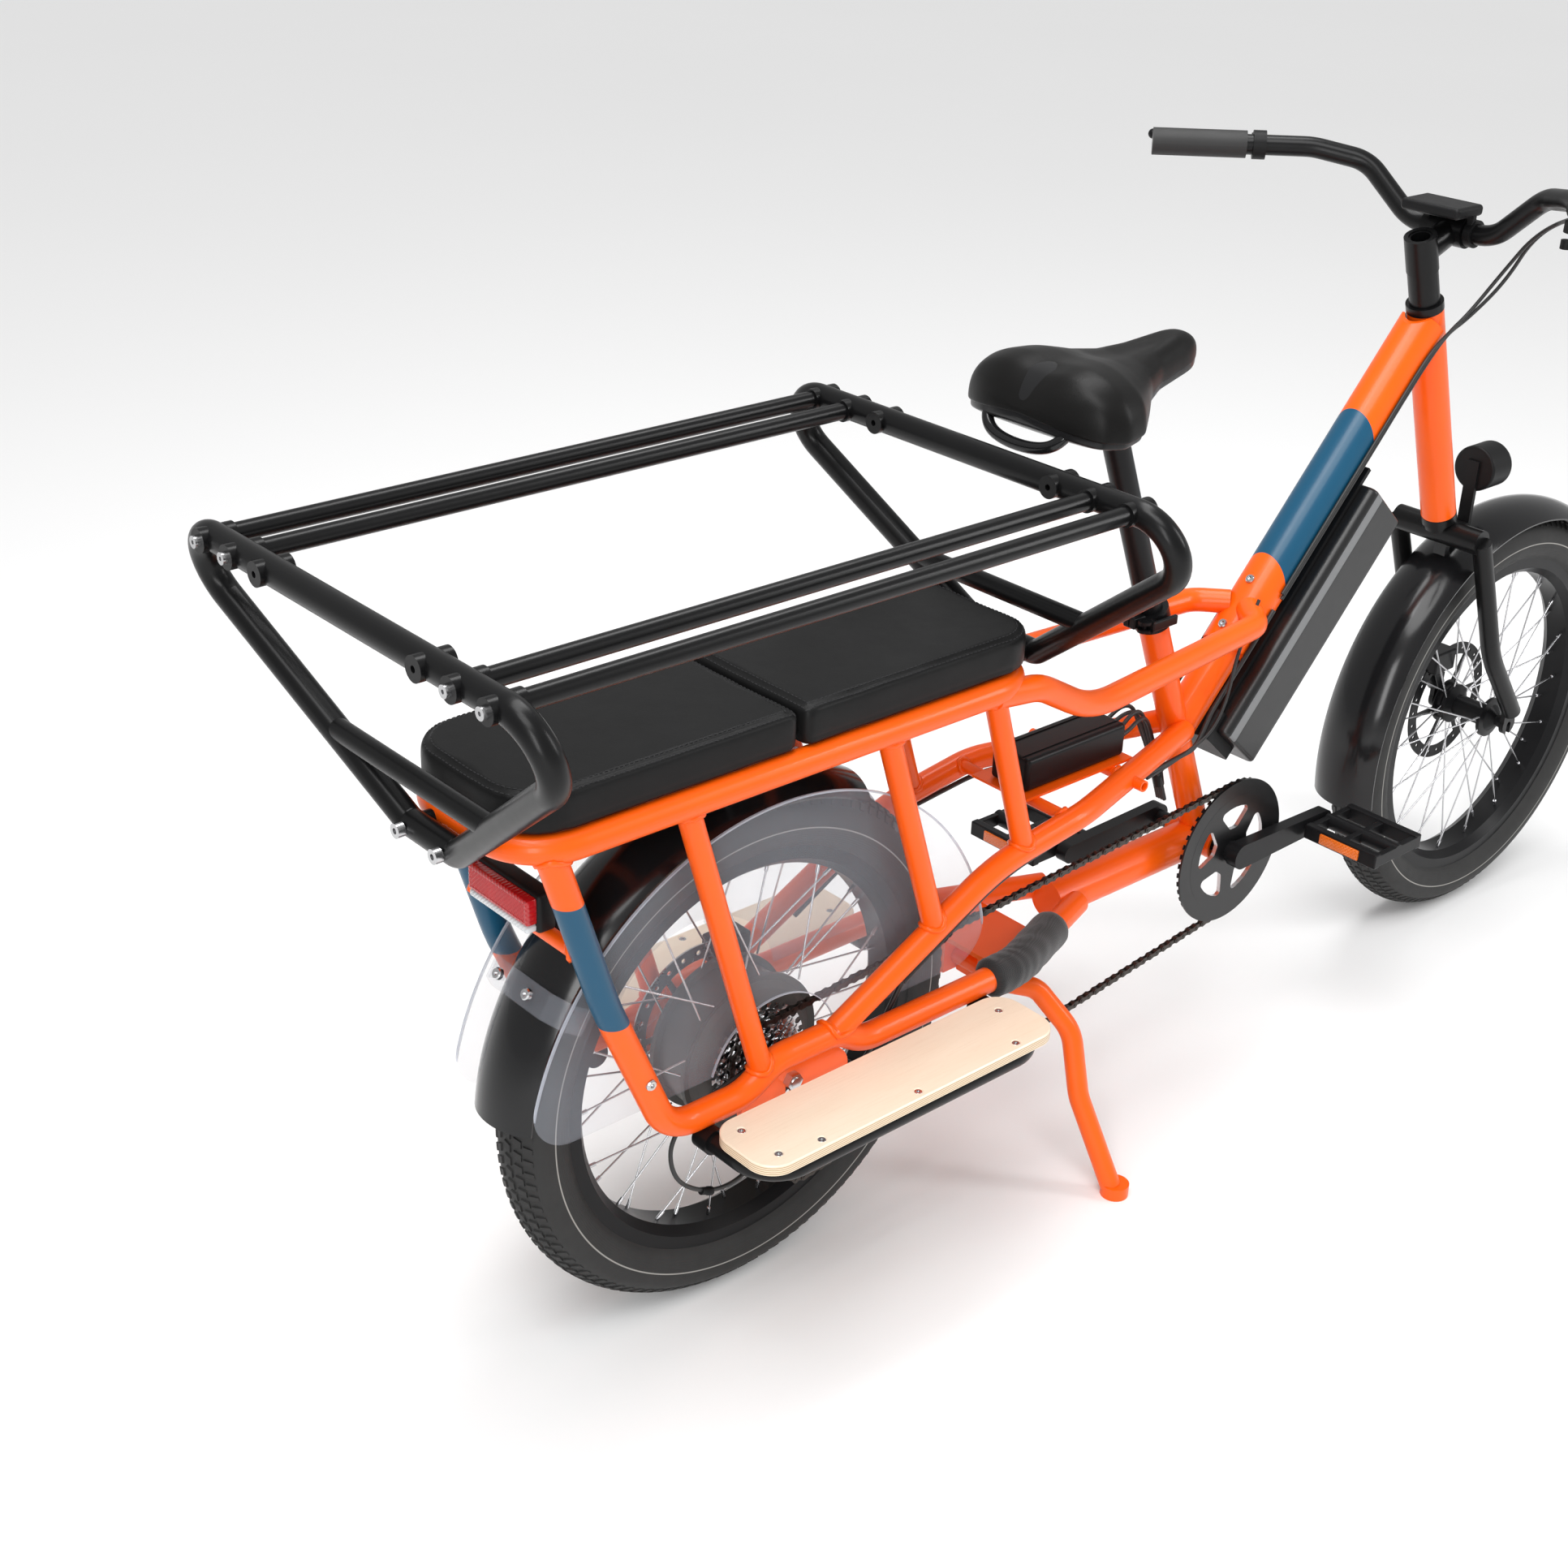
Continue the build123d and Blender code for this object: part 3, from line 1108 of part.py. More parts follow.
def fork_leg(side, outer, mode=Mode.ADD):
    """One leg of the fork, from the crown down to its dropout."""
    knee = head_axis(AXLE_Z + 130)
    points = [
        Vector(crown.X, side * LEG_Y, crown.Z),
        Vector(knee.X + 8, side * LEG_Y, knee.Z),
        at(WHEELBASE - 2, side * (LEG_Y - 2), AXLE_Z + 22),
    ]
    tube(points, outer, 0, 200, mode=mode)


with BuildPart() as fork:
    bar(crown, head_axis(1032), 28.6)
    bar(head_axis(CROWN_Z + 8), head_axis(HEAD_LOW_Z - CUP_H - GAP), 40)
    bar(head_axis(HEAD_LOW_Z - CUP_H - GAP), head_axis(HEAD_LOW_Z - GAP), 47)
    bar(head_axis(HEAD_TOP_Z + GAP), head_axis(HEAD_TOP_Z + GAP + CUP_H), 47)
    bar(head_axis(CROWN_Z + 20), head_axis(1040), 23.8, mode=Mode.SUBTRACT)
    tube([Vector(crown.X, -LEG_Y, crown.Z), Vector(crown.X, LEG_Y, crown.Z)], 34)
    for side in SIDES:
        fork_leg(side, LEG_D)
        inner = side * FRONT_HUB_Y
        with BuildSketch(side_plane(WHEELBASE, inner, AXLE_Z)):
            Circle(15)
            with Locations((-4, 22)):
                Rectangle(20, 34)
            Circle(4.6, mode=Mode.SUBTRACT)
            with Locations((0, -12)):
                Rectangle(9.2, 24, mode=Mode.SUBTRACT)
        extrude(amount=-side * 7)
save("fork", fork.part)

with BuildPart() as front_fender:
    add(make_fender(WHEELBASE, 38, 190).part)
    with BuildPart(mode=Mode.PRIVATE) as tab:
        foot = head_axis(CROWN_Z - 34)
        block(Vector(foot.X - 5, -9, foot.Z - 4), Vector(foot.X + 5, 9, crown.Z - 6))
        bar(Vector(crown.X, -20, crown.Z), Vector(crown.X, 20, crown.Z), 34.6, mode=Mode.SUBTRACT)
        bar(at(WHEELBASE, -30, AXLE_Z), at(WHEELBASE, 30, AXLE_Z), 2 * FENDER_R - 2, mode=Mode.SUBTRACT)
    add(tab.part)
save("front_fender", front_fender.part)

STEM_Z = 1012.0
BAR_AT = head_axis(STEM_Z) + Vector(58, 0, 22)


def bar_route(side):
    return [
        BAR_AT,
        BAR_AT + Vector(0, side * 60, 0),
        BAR_AT + Vector(-12, side * 128, 62),
        BAR_AT + Vector(-52, side * 185, 74),
        BAR_AT + Vector(-186, side * BAR_HALF_W, 70),
    ]


BAR_BENDS = (55, 55, 100)
with BuildPart() as handlebar:
    for side in SIDES:
        tube(bar_route(side), BAR_D, 0, BAR_BENDS)
    with BuildPart(mode=Mode.PRIVATE) as stem:
        bar(head_axis(STEM_Z - 22), head_axis(STEM_Z + 22), 40)
        bar(head_axis(STEM_Z), BAR_AT, 34)
        bar(BAR_AT + Vector(0, -24, 0), BAR_AT + Vector(0, 24, 0), 40)
        bar(BAR_AT + Vector(0, -60, 0), BAR_AT + Vector(0, 60, 0), BAR_D + 0.2, mode=Mode.SUBTRACT)
        bar(head_axis(STEM_Z - 60), head_axis(STEM_Z + 60), 28.7, mode=Mode.SUBTRACT)
    add(stem.part)
    with BuildPart(mode=Mode.PRIVATE) as spacer:
        bar(head_axis(HEAD_TOP_Z + CUP_H + 2 * GAP), head_axis(STEM_Z - 22.4), 38)
        bar(head_axis(900), head_axis(STEM_Z), 28.7, mode=Mode.SUBTRACT)
    add(spacer.part)
save("handlebar", handlebar.part)


def bar_wire(side):
    with BuildLine(mode=Mode.PRIVATE) as route:
        FilletPolyline(*bar_route(side), radius=BAR_BENDS)
    return route.wire()


def bar_collar(side, from_end, width, outer, bore=BAR_D + 0.2, mode=Mode.ADD):
    """A ring on the bar, starting from_end millimetres in from its end."""
    wire = bar_wire(side)
    end = wire @ 1
    way = (wire % 1) * -1
    start = end + way * from_end
    with BuildPart(mode=Mode.PRIVATE) as ring:
        bar(start, start + way * width, outer)
        bar(start - way, start + way * (width + 1), bore, mode=Mode.SUBTRACT)
    add(ring.part, mode=mode)


GRIP_LENGTH = 118.0
TWIST_LENGTH = 62.0
with BuildPart() as grips:
    bar_collar(1, 0, GRIP_LENGTH, GRIP_D)
    bar_collar(-1, 0, GRIP_LENGTH - TWIST_LENGTH - 1, GRIP_D)
save("grips", grips.part)

with BuildPart() as throttle:
    bar_collar(-1, GRIP_LENGTH - TWIST_LENGTH, TWIST_LENGTH - 1, GRIP_D + 2, BAR_D + 0.16)
save("throttle", throttle.part)

# ---------------------------------------------------------------- bar controls
LEVER_AT_BAR = 134.0
SHIFTER_AT_BAR = 164.0
LEVER_OUT = 32.0
PIN_R = 3.0


def bar_frame(side, from_end):
    """The bar's point, its inward direction and the direction forward of it."""
    wire = bar_wire(side)
    way = (wire % 1) * -1
    ahead = way.cross(Vector(0, 0, 1)).normalized()
    if ahead.X < 0:
        ahead = ahead * -1
    return wire @ 1 + way * from_end, way, ahead


def lever_pivot(side):
    point, way, ahead = bar_frame(side, LEVER_AT_BAR)
    return point + ahead * LEVER_OUT, way.cross(ahead).normalized()


with BuildPart() as bar_controls:
    for side in SIDES:
        point, way, ahead = bar_frame(side, LEVER_AT_BAR)
        pivot, upright = lever_pivot(side)
        bar_collar(side, LEVER_AT_BAR - 8, 16, 36)
        with BuildPart(mode=Mode.PRIVATE) as bracket:
            for way_up in (1, -1):
                low = pivot + upright * way_up * 4.4
                high = pivot + upright * way_up * 8.4
                bar(low, high, 16)
                bar(point + ahead * 14 + upright * way_up * 6.4, pivot + upright * way_up * 6.4, 3.4)
            bar(pivot - upright * 9.5, pivot + upright * 9.5, 2 * PIN_R)
            bar(point + ahead * 10, point + ahead * 20, 22)
            bar(point - way * 30, point + way * 30, 33, mode=Mode.SUBTRACT)
        add(bracket.part)
    point, way, ahead = bar_frame(-1, SHIFTER_AT_BAR)
    bar_collar(-1, SHIFTER_AT_BAR - 6, 12, 34)
    with BuildPart(mode=Mode.PRIVATE) as shifter:
        bar(point - Vector(0, 0, 15), point - Vector(0, 0, 27), 34)
        bar(point - Vector(0, 0, 27), point - Vector(0, 0, 37), 2 * PIN_R)
        bar(point - way * 30, point + way * 30, 31, mode=Mode.SUBTRACT)
    add(shifter.part)
    middle = BAR_AT
    with BuildPart(mode=Mode.PRIVATE) as display:
        block(middle + Vector(-58, -42, 24), middle + Vector(-2, 42, 38), 5)
        block(middle + Vector(-12, 27, -2), middle + Vector(-4, 35, 26), 1)
        block(middle + Vector(-12, -35, -2), middle + Vector(-4, -27, 26), 1)
        for side in SIDES:
            bar(middle + Vector(0, side * 26, 0), middle + Vector(0, side * 36, 0), 34)
        bar(middle + Vector(0, -60, 0), middle + Vector(0, 60, 0), BAR_D + 0.2, mode=Mode.SUBTRACT)
    add(display.part)
save("bar_controls", bar_controls.part)

for side in SIDES:
    pivot, upright = lever_pivot(side)
    point, way, ahead = bar_frame(side, LEVER_AT_BAR)
    with BuildPart() as brake_lever:
        bar(pivot - upright * 4, pivot + upright * 4, 15)
        tube([pivot, pivot - way * 40 + ahead * 16, pivot - way * 132 + ahead * 18], 7.6, 0, 60)
        with Locations(pivot - way * 132 + ahead * 18):
            Sphere(6.5)
        bar(pivot - upright * 12, pivot + upright * 12, 2 * (PIN_R + FIT), mode=Mode.SUBTRACT)
    save(f"{side_name(side)}_brake_lever", brake_lever.part)

SHIFT_PIVOT, shift_way, shift_ahead = bar_frame(-1, SHIFTER_AT_BAR)
with BuildPart() as shift_lever:
    hub = SHIFT_PIVOT - Vector(0, 0, 27.4)
    tip = hub - shift_way * 42 - shift_ahead * 26
    bar(hub, hub - Vector(0, 0, 6), 18)
    bar(hub - Vector(0, 0, 3), tip - Vector(0, 0, 3), 4.4)
    bar(tip + Vector(0, 0, 2), tip - Vector(0, 0, 8), 13)
    bar(hub + Vector(0, 0, 8), hub - Vector(0, 0, 12), 2 * (PIN_R + FIT), mode=Mode.SUBTRACT)
save("shift_lever", shift_lever.part)

HEADLIGHT_AT = crown + Vector(58, 0, 74)
with BuildPart() as headlight:
    bar(HEADLIGHT_AT, HEADLIGHT_AT + Vector(46, 0, 0), 62)
    fillet(headlight.edges(), 4)
    bar(HEADLIGHT_AT + Vector(42, 0, 0), HEADLIGHT_AT + Vector(50, 0, 0), 50)
    with BuildPart(mode=Mode.PRIVATE) as arm:
        block(crown + Vector(54, -9, -4), HEADLIGHT_AT + Vector(2, 9, 12))
        block(crown + Vector(8, -9, -4), crown + Vector(56, 9, 0))
        bar(crown - Vector(0, 30, 0), crown + Vector(0, 30, 0), 34.2, mode=Mode.SUBTRACT)
    add(arm.part)
save("headlight", headlight.part)

# ---------------------------------------------------------------- front wheel
front_tyre = make_tyre(WHEELBASE)
save("front_tyre", front_tyre.part)
front_rim = make_rim(WHEELBASE)
save("front_rim", front_rim.part)
front_spokes = make_spokes(WHEELBASE, 30.6, 30)
save("front_spokes", front_spokes.part)

FRONT_ROTOR_Y = 44.0
with BuildPart() as front_hub:
    with BuildSketch(round_plane(WHEELBASE, AXLE_Z)):
        outline([
            (4.5 + FIT, -FRONT_HUB_Y + 0.3), (9, -FRONT_HUB_Y + 0.3), (9, -44), (20, -34),
            (29.3, -32.6), (29.3, -27.4), (16, -22), (16, 22), (29.3, 27.4), (29.3, 32.6),
            (27, 36), (27, FRONT_ROTOR_Y - 1), (9, FRONT_ROTOR_Y + 4),
            (9, FRONT_HUB_Y - 0.3), (4.5 + FIT, FRONT_HUB_Y - 0.3),
        ])
    revolve(axis=spin_axis(WHEELBASE, AXLE_Z))
    with BuildSketch(side_plane(WHEELBASE, FRONT_ROTOR_Y - 1, AXLE_Z)):
        rotor_sketch(ROTOR_R, 14)
    extrude(amount=-2)
save("front_hub", front_hub.part)

# ---------------------------------------------------------------- brakes
def make_caliper(x, z, rotor_y, angle, outer):
    """A two-piston caliper that straddles the rotor's edge, with both pads clear of it."""
    spot = math.radians(angle)
    cx, cz = x + (ROTOR_R - 4) * math.cos(spot), z + (ROTOR_R - 4) * math.sin(spot)
    with BuildPart() as caliper:
        block(at(cx - 24, rotor_y - 14, cz - 16), at(cx + 24, rotor_y + outer, cz + 16), 3)
        with BuildSketch(side_plane(x, rotor_y - 1.8, z)):
            Circle(ROTOR_R + 2)
        extrude(amount=-3.6, mode=Mode.SUBTRACT)
    return caliper


with BuildPart() as rear_caliper:
    add(make_caliper(0, AXLE_Z, ROTOR_Y + 0.3, 62, 15).part)
    spot = math.radians(62)
    cx, cz = (ROTOR_R - 4) * math.cos(spot), AXLE_Z + (ROTOR_R - 4) * math.sin(spot)
    bar(at(cx, ROTOR_Y + 12, cz), at(cx, STAY_Y - 3, cz), 14)
save("rear_caliper", rear_caliper.part)

with BuildPart() as front_caliper:
    add(make_caliper(WHEELBASE, AXLE_Z, FRONT_ROTOR_Y, 118, 14).part)
    fork_leg(1, LEG_D + 0.4, mode=Mode.SUBTRACT)
save("front_caliper", front_caliper.part)

# ---------------------------------------------------------------- cables
CABLE_D = 6.0
CABLE_DROP = STAY_D / 2 - 0.5 + CABLE_D / 2 + GAP
CABLE_BENDS = (60, 26, 260, 260, 260)
CABLE_SIDE = MAIN_TUBE_D / 2 + CABLE_D / 2 + GAP


def cable_route(side):
    """A cable from the main tube's flank, down and back under the upper stay."""
    return [
        along_main(main_run(610), 0, side * CABLE_SIDE),
        along_main(main_run(500), 0, side * CABLE_SIDE),
        at(706, side * 36, 477 - CABLE_DROP),
        at(600, side * 47, 477 - CABLE_DROP),
        at(450, side * 84, 476 - CABLE_DROP - 1),
        at(304, side * STAY_Y, 456 - CABLE_DROP - 2),
        at(165, side * STAY_Y, 378 - CABLE_DROP - 3),
    ]


with BuildPart() as frame_cables:
    for side in SIDES:
        tube(cable_route(side), CABLE_D, 0, CABLE_BENDS)
save("frame_cables", frame_cables.part)

# ---------------------------------------------------------------- joint places, metres
def report(name, point, axis):
    place = [round(v / 1000, 6) for v in (point.X, point.Y, point.Z)]
    print(name, place, [round(v, 6) for v in (axis.X, axis.Y, axis.Z)])


Y_AXIS = Vector(0, 1, 0)
report("rear_axle", at(0, 0, AXLE_Z), Y_AXIS)
report("front_axle", at(WHEELBASE, 0, AXLE_Z), Y_AXIS)
report("steering", head_axis(800), steer_axis)
report("cranks", at(BB_X, 0, BB_Z), Y_AXIS)
for side in SIDES:
    report(f"{side_name(side)}_pedal", at(BB_X - side * CRANK_LENGTH, side * PEDAL_Y, BB_Z), Y_AXIS)
    report(f"{side_name(side)}_brake_lever", *lever_pivot(side))
report("guide_pulley", at(GUIDE_X, CHAIN_Y, GUIDE_Z), Y_AXIS)
report("tension_pulley", at(TENSION_X, CHAIN_Y, TENSION_Z), Y_AXIS)
report("kickstand", at(STAND_X, 0, STAND_Z), Y_AXIS)
report("seat", seat_axis(650), (seat_axis(900) - seat_axis(800)).normalized())
report("seat_lever", hinge, Vector(0, 0, -1))
report("shift_lever", SHIFT_PIVOT, Vector(0, 0, -1))
report("throttle", bar_wire(-1) @ 1, bar_wire(-1) % 1)
report("battery", along_main(BATTERY_START), along_main(1) - along_main(0))
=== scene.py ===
"""The looks of a long-tail electric cargo bicycle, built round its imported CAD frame."""

import math
import random

import bmesh
import bpy
import numpy as np
from mathutils import Matrix, Vector
from mathutils.bvhtree import BVHTree


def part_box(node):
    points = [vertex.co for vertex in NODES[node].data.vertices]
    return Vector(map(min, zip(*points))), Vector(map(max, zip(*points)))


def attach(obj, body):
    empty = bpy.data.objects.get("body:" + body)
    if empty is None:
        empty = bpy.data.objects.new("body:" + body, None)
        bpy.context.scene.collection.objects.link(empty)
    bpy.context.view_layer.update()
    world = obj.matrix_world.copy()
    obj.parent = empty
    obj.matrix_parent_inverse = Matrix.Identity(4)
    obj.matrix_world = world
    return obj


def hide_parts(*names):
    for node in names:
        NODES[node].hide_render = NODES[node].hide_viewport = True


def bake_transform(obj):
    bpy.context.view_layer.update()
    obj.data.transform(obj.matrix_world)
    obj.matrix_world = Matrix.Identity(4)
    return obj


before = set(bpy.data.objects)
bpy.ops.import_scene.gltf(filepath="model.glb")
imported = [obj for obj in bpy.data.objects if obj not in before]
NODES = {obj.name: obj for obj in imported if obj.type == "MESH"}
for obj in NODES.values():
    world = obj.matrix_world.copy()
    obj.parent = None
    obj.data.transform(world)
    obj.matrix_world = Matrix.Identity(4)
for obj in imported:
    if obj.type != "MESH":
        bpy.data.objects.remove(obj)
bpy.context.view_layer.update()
MM = 0.001
MIDDLE_X = 620.5
SIDES = (1, -1)


def at(x, y=0.0, z=0.0):
    """A point given from the rear axle in millimetres, in the bicycle's frame in metres."""
    return Vector(((x - MIDDLE_X) * MM, y * MM, z * MM))


# ---------------------------------------------------------------- materials: tools
class Value:
    """A number that changes over a surface. Python's operators add its Math nodes."""

    def __init__(self, finish, socket):
        self.finish = finish
        self.socket = socket

    def math(self, operation, *others, clamp=False):
        sockets = [self.socket]
        for other in others:
            sockets.append(other.socket if isinstance(other, Value) else other)
        node = self.finish.node("ShaderNodeMath", {"operation": operation, "use_clamp": clamp},
                                dict(enumerate(sockets)))
        return Value(self.finish, node.outputs[0])

    def __add__(self, other):
        return self.math("ADD", other)

    def __sub__(self, other):
        return self.math("SUBTRACT", other)

    def __mul__(self, other):
        return self.math("MULTIPLY", other)

    def __truediv__(self, other):
        return self.math("DIVIDE", other)

    def __pow__(self, other):
        return self.math("POWER", other)

    def __rsub__(self, other):
        return (self * -1.0) + other

    def __gt__(self, other):
        return self.math("GREATER_THAN", other)

    def __lt__(self, other):
        return self.math("LESS_THAN", other)

    __radd__ = __add__
    __rmul__ = __mul__

    def abs(self):
        return self.math("ABSOLUTE")

    def sin(self):
        return self.math("SINE")

    def root(self):
        return self.math("SQRT")

    def within(self, low, high, soft=0.0004):
        """1 between low and high, 0 outside, with a soft edge."""
        rise = ((self - low) / soft).math("ADD", 0.0, clamp=True)
        fall = ((self * -1.0 + high) / soft).math("ADD", 0.0, clamp=True)
        return rise * fall

    def ramp(self, low, high):
        """0 at low and below, 1 at high and above."""
        return ((self - low) / (high - low)).math("ADD", 0.0, clamp=True)


class Finish:
    """One procedural material, its nodes added from Python."""

    def __init__(self, name):
        self.material = bpy.data.materials.new(name)
        self.material.use_nodes = True
        self.tree = self.material.node_tree
        self.shader = self.tree.nodes["Principled BSDF"]
        self.place = self.node("ShaderNodeTexCoord").outputs["Object"]

    def node(self, kind, settings=None, sockets=None):
        made = self.tree.nodes.new(kind)
        for key, value in (settings or {}).items():
            setattr(made, key, value)
        for key, value in (sockets or {}).items():
            self.feed(made.inputs[key], value)
        return made

    def feed(self, socket, value):
        if isinstance(value, Value):
            value = value.socket
        if isinstance(value, bpy.types.NodeSocket):
            self.tree.links.new(value, socket)
        elif isinstance(value, tuple) and len(value) == 3 and socket.type == "RGBA":
            socket.default_value = (*value, 1.0)
        else:
            socket.default_value = value

    def axes(self):
        split = self.node("ShaderNodeSeparateXYZ", None, {0: self.place})
        return [Value(self, split.outputs[n]) for n in range(3)]

    def noise(self, scale, detail=3.0, rough=0.5, stretch=(1.0, 1.0, 1.0), turn=(0.0, 0.0, 0.0)):
        mapped = self.node("ShaderNodeMapping", None, {"Vector": self.place, "Scale": stretch,
                                                       "Rotation": turn})
        made = self.node("ShaderNodeTexNoise", None, {"Vector": mapped.outputs[0], "Scale": scale,
                                                      "Detail": detail,
                                                      "Roughness": rough})
        return Value(self, made.outputs["Fac"])

    def cells(self, scale, feature="F1", stretch=(1.0, 1.0, 1.0)):
        mapped = self.node("ShaderNodeMapping", None, {"Vector": self.place, "Scale": stretch})
        made = self.node("ShaderNodeTexVoronoi", {"feature": feature}, {"Vector": mapped.outputs[0],
            "Scale": scale})
        return Value(self, made.outputs["Distance"])

    def mix(self, factor, low, high):
        made = self.node("ShaderNodeMix", {"data_type": "RGBA"})
        self.feed(made.inputs["Factor"], factor)
        self.feed(made.inputs["A"] if made.inputs["A"].type == "RGBA" else made.inputs[6], low)
        self.feed(made.inputs["B"] if made.inputs["B"].type == "RGBA" else made.inputs[7], high)
        return made.outputs[2]

    def bump(self, height, distance, strength=1.0, normal=None):
        sockets = {"Height": height, "Distance": distance, "Strength": strength}
        if normal is not None:
            sockets["Normal"] = normal
        return self.node("ShaderNodeBump", None, sockets).outputs[0]

    def set(self, **inputs):
        for key, value in inputs.items():
            self.feed(self.shader.inputs[key.replace("_", " ").title().replace("Ior", "IOR")], value)
        return self


def wear(finish, low, high, scale=60.0):
    """Slow uneven patches between two values of roughness."""
    return finish.noise(scale, 4.0, 0.6) * (high - low) + low


# ---------------------------------------------------------------- materials
ORANGE = (0.95, 0.122, 0.003)
ORANGE_DEEP = (0.90, 0.100, 0.002)
BLUE = (0.007, 0.072, 0.140)


def paint(name, with_bands=None):
    """Powder coat: a faint orange peel, slow colour drift and a clear top layer."""
    coat = Finish(name)
    drift = coat.noise(9.0, 2.0)
    colour = coat.mix(drift, ORANGE_DEEP, ORANGE)
    if with_bands is not None:
        colour = coat.mix(with_bands(coat), colour, BLUE)
    peel = coat.noise(900.0, 2.0, 0.5)
    coat.set(base_color=colour, roughness=wear(coat, 0.30, 0.38), coat_weight=0.14, coat_roughness=0.10,
             normal=coat.bump(peel, 0.00006, 0.35))
    coat.shader.inputs["Specular IOR Level"].default_value = 0.28
    return coat.material


MAIN_ANGLE = math.radians(47.9)
MAIN_REF = at(856, 0, 636)


def main_band(coat):
    """The blue part of the main tube, cut off slantwise at both ends."""
    x, y, z = coat.axes()
    run = (x - MAIN_REF.x) * math.cos(MAIN_ANGLE) + (z - MAIN_REF.z) * math.sin(MAIN_ANGLE)
    drop = (x - MAIN_REF.x) * math.sin(MAIN_ANGLE) - (z - MAIN_REF.z) * math.cos(MAIN_ANGLE)
    slant = run + drop * 0.75
    return slant.within(-0.002, 0.212)


def strut_band(coat):
    """The blue part of each rear strut."""
    x, y, z = coat.axes()
    rear = x < at(-200).x
    return z.within(0.462, 0.612) * rear


orange = paint("orange_powder_coat")
orange_main = paint("orange_with_main_band", main_band)
orange_struts = paint("orange_with_strut_band", strut_band)


def black_coat(name, colour, low, high, coat_weight, peel):
    made = Finish(name)
    drift = made.noise(14.0, 3.0)
    brighter = tuple(c * 1.6 for c in colour)
    grain = made.noise(1400.0, 2.0)
    made.set(base_color=made.mix(drift, colour, brighter), roughness=wear(made, low, high),
             coat_weight=coat_weight,
             coat_roughness=0.2, normal=made.bump(grain, peel, 0.4))
    made.shader.inputs["Specular IOR Level"].default_value = 0.17
    return made.material


black_powder = black_coat("black_powder_coat", (0.0035, 0.0035, 0.0037), 0.27, 0.35, 0.1, 0.00004)
black_anodised = black_coat("black_anodised", (0.0055, 0.0055, 0.006), 0.28, 0.38, 0.0, 0.00002)
black_moulded = black_coat("black_moulded_plastic", (0.006, 0.006, 0.0063), 0.38, 0.50, 0.0, 0.00012)
gloss_moulded = black_coat("black_gloss_mudguard", (0.006, 0.006, 0.0065), 0.10, 0.16, 0.4, 0.00001)
motor_cast = black_coat("motor_shell_cast", (0.045, 0.043, 0.041), 0.30, 0.42, 0.0, 0.00010)


def metal(name, colour, low, high, brushed=(1.0, 1.0, 1.0)):
    made = Finish(name)
    lines = made.noise(700.0, 3.0, 0.6, brushed)
    made.set(base_color=made.mix(lines, tuple(c * 0.82 for c in colour), colour), metallic=1.0,
             roughness=wear(made, low, high, 90.0), normal=made.bump(lines, 0.00003, 0.3))
    return made.material


bright_steel = metal("bright_steel", (0.62, 0.62, 0.63), 0.18, 0.30)
spoke_steel = metal("spoke_steel", (0.68, 0.68, 0.70), 0.20, 0.30)
rotor_steel = metal("rotor_steel", (0.50, 0.50, 0.51), 0.22, 0.36, (1.0, 6.0, 1.0))
dark_steel = metal("oiled_dark_steel", (0.085, 0.075, 0.068), 0.34, 0.50)


def rubber(name, colour, rough, grain_scale=1500.0):
    made = Finish(name)
    grain = made.noise(grain_scale, 3.0, 0.6)
    dust = made.noise(30.0, 4.0, 0.6)
    made.set(base_color=made.mix(dust, colour, tuple(c * 1.9 for c in colour)), roughness=wear(made,
        rough - 0.06, rough + 0.06),
             normal=made.bump(grain, 0.00012, 0.5))
    return made.material


grip_rubber = rubber("grip_rubber", (0.012, 0.012, 0.012), 0.62)
cable_rubber = rubber("cable_jacket", (0.010, 0.010, 0.010), 0.45)


def tyre_material(name, axle_x):
    """Black tread rubber with a pale reflective line round each sidewall."""
    made = Finish(name)
    x, y, z = made.axes()
    radius = ((x - axle_x) ** 2.0 + (z - 0.302) ** 2.0).root()
    line = radius.within(0.2625, 0.2645, 0.0005)
    grain = made.noise(1200.0, 3.0, 0.6)
    ribs = (radius * 2600.0).sin() * radius.within(0.246, 0.259, 0.001)
    dust = made.noise(22.0, 4.0, 0.6)
    dark = made.mix(dust, (0.008, 0.0078, 0.0075), (0.017, 0.0165, 0.016))
    made.set(base_color=made.mix(line, dark, (0.30, 0.29, 0.27)), roughness=wear(made, 0.58, 0.72),
             normal=made.bump(grain + ribs * 0.5, 0.00020, 0.5))
    return made.material


def vinyl(name, colour, low, high, scale):
    """Upholstery skin: fine pebble grain with soft creases."""
    made = Finish(name)
    pebble = made.cells(scale)
    fine = made.noise(scale * 2.2, 2.0)
    crease = made.noise(26.0, 4.0, 0.6)
    relief = made.bump(crease, 0.0009, 0.25)
    made.shader.inputs["Specular IOR Level"].default_value = 0.15
    made.set(base_color=made.mix(crease, colour, tuple(c * 1.7 for c in colour)),
             roughness=made.noise(40.0, 3.0) * (high - low) + low,
             normal=made.bump(pebble * 0.7 + fine * 0.3, 0.00016, 0.45, relief))
    return made.material


pad_vinyl = vinyl("deck_pad_vinyl", (0.0050, 0.0050, 0.0051), 0.38, 0.48, 900.0)
saddle_vinyl = vinyl("saddle_vinyl", (0.0045, 0.0043, 0.0042), 0.34, 0.42, 1200.0)
thread_black = black_coat("black_thread", (0.018, 0.018, 0.019), 0.5, 0.6, 0.0, 0.0001)


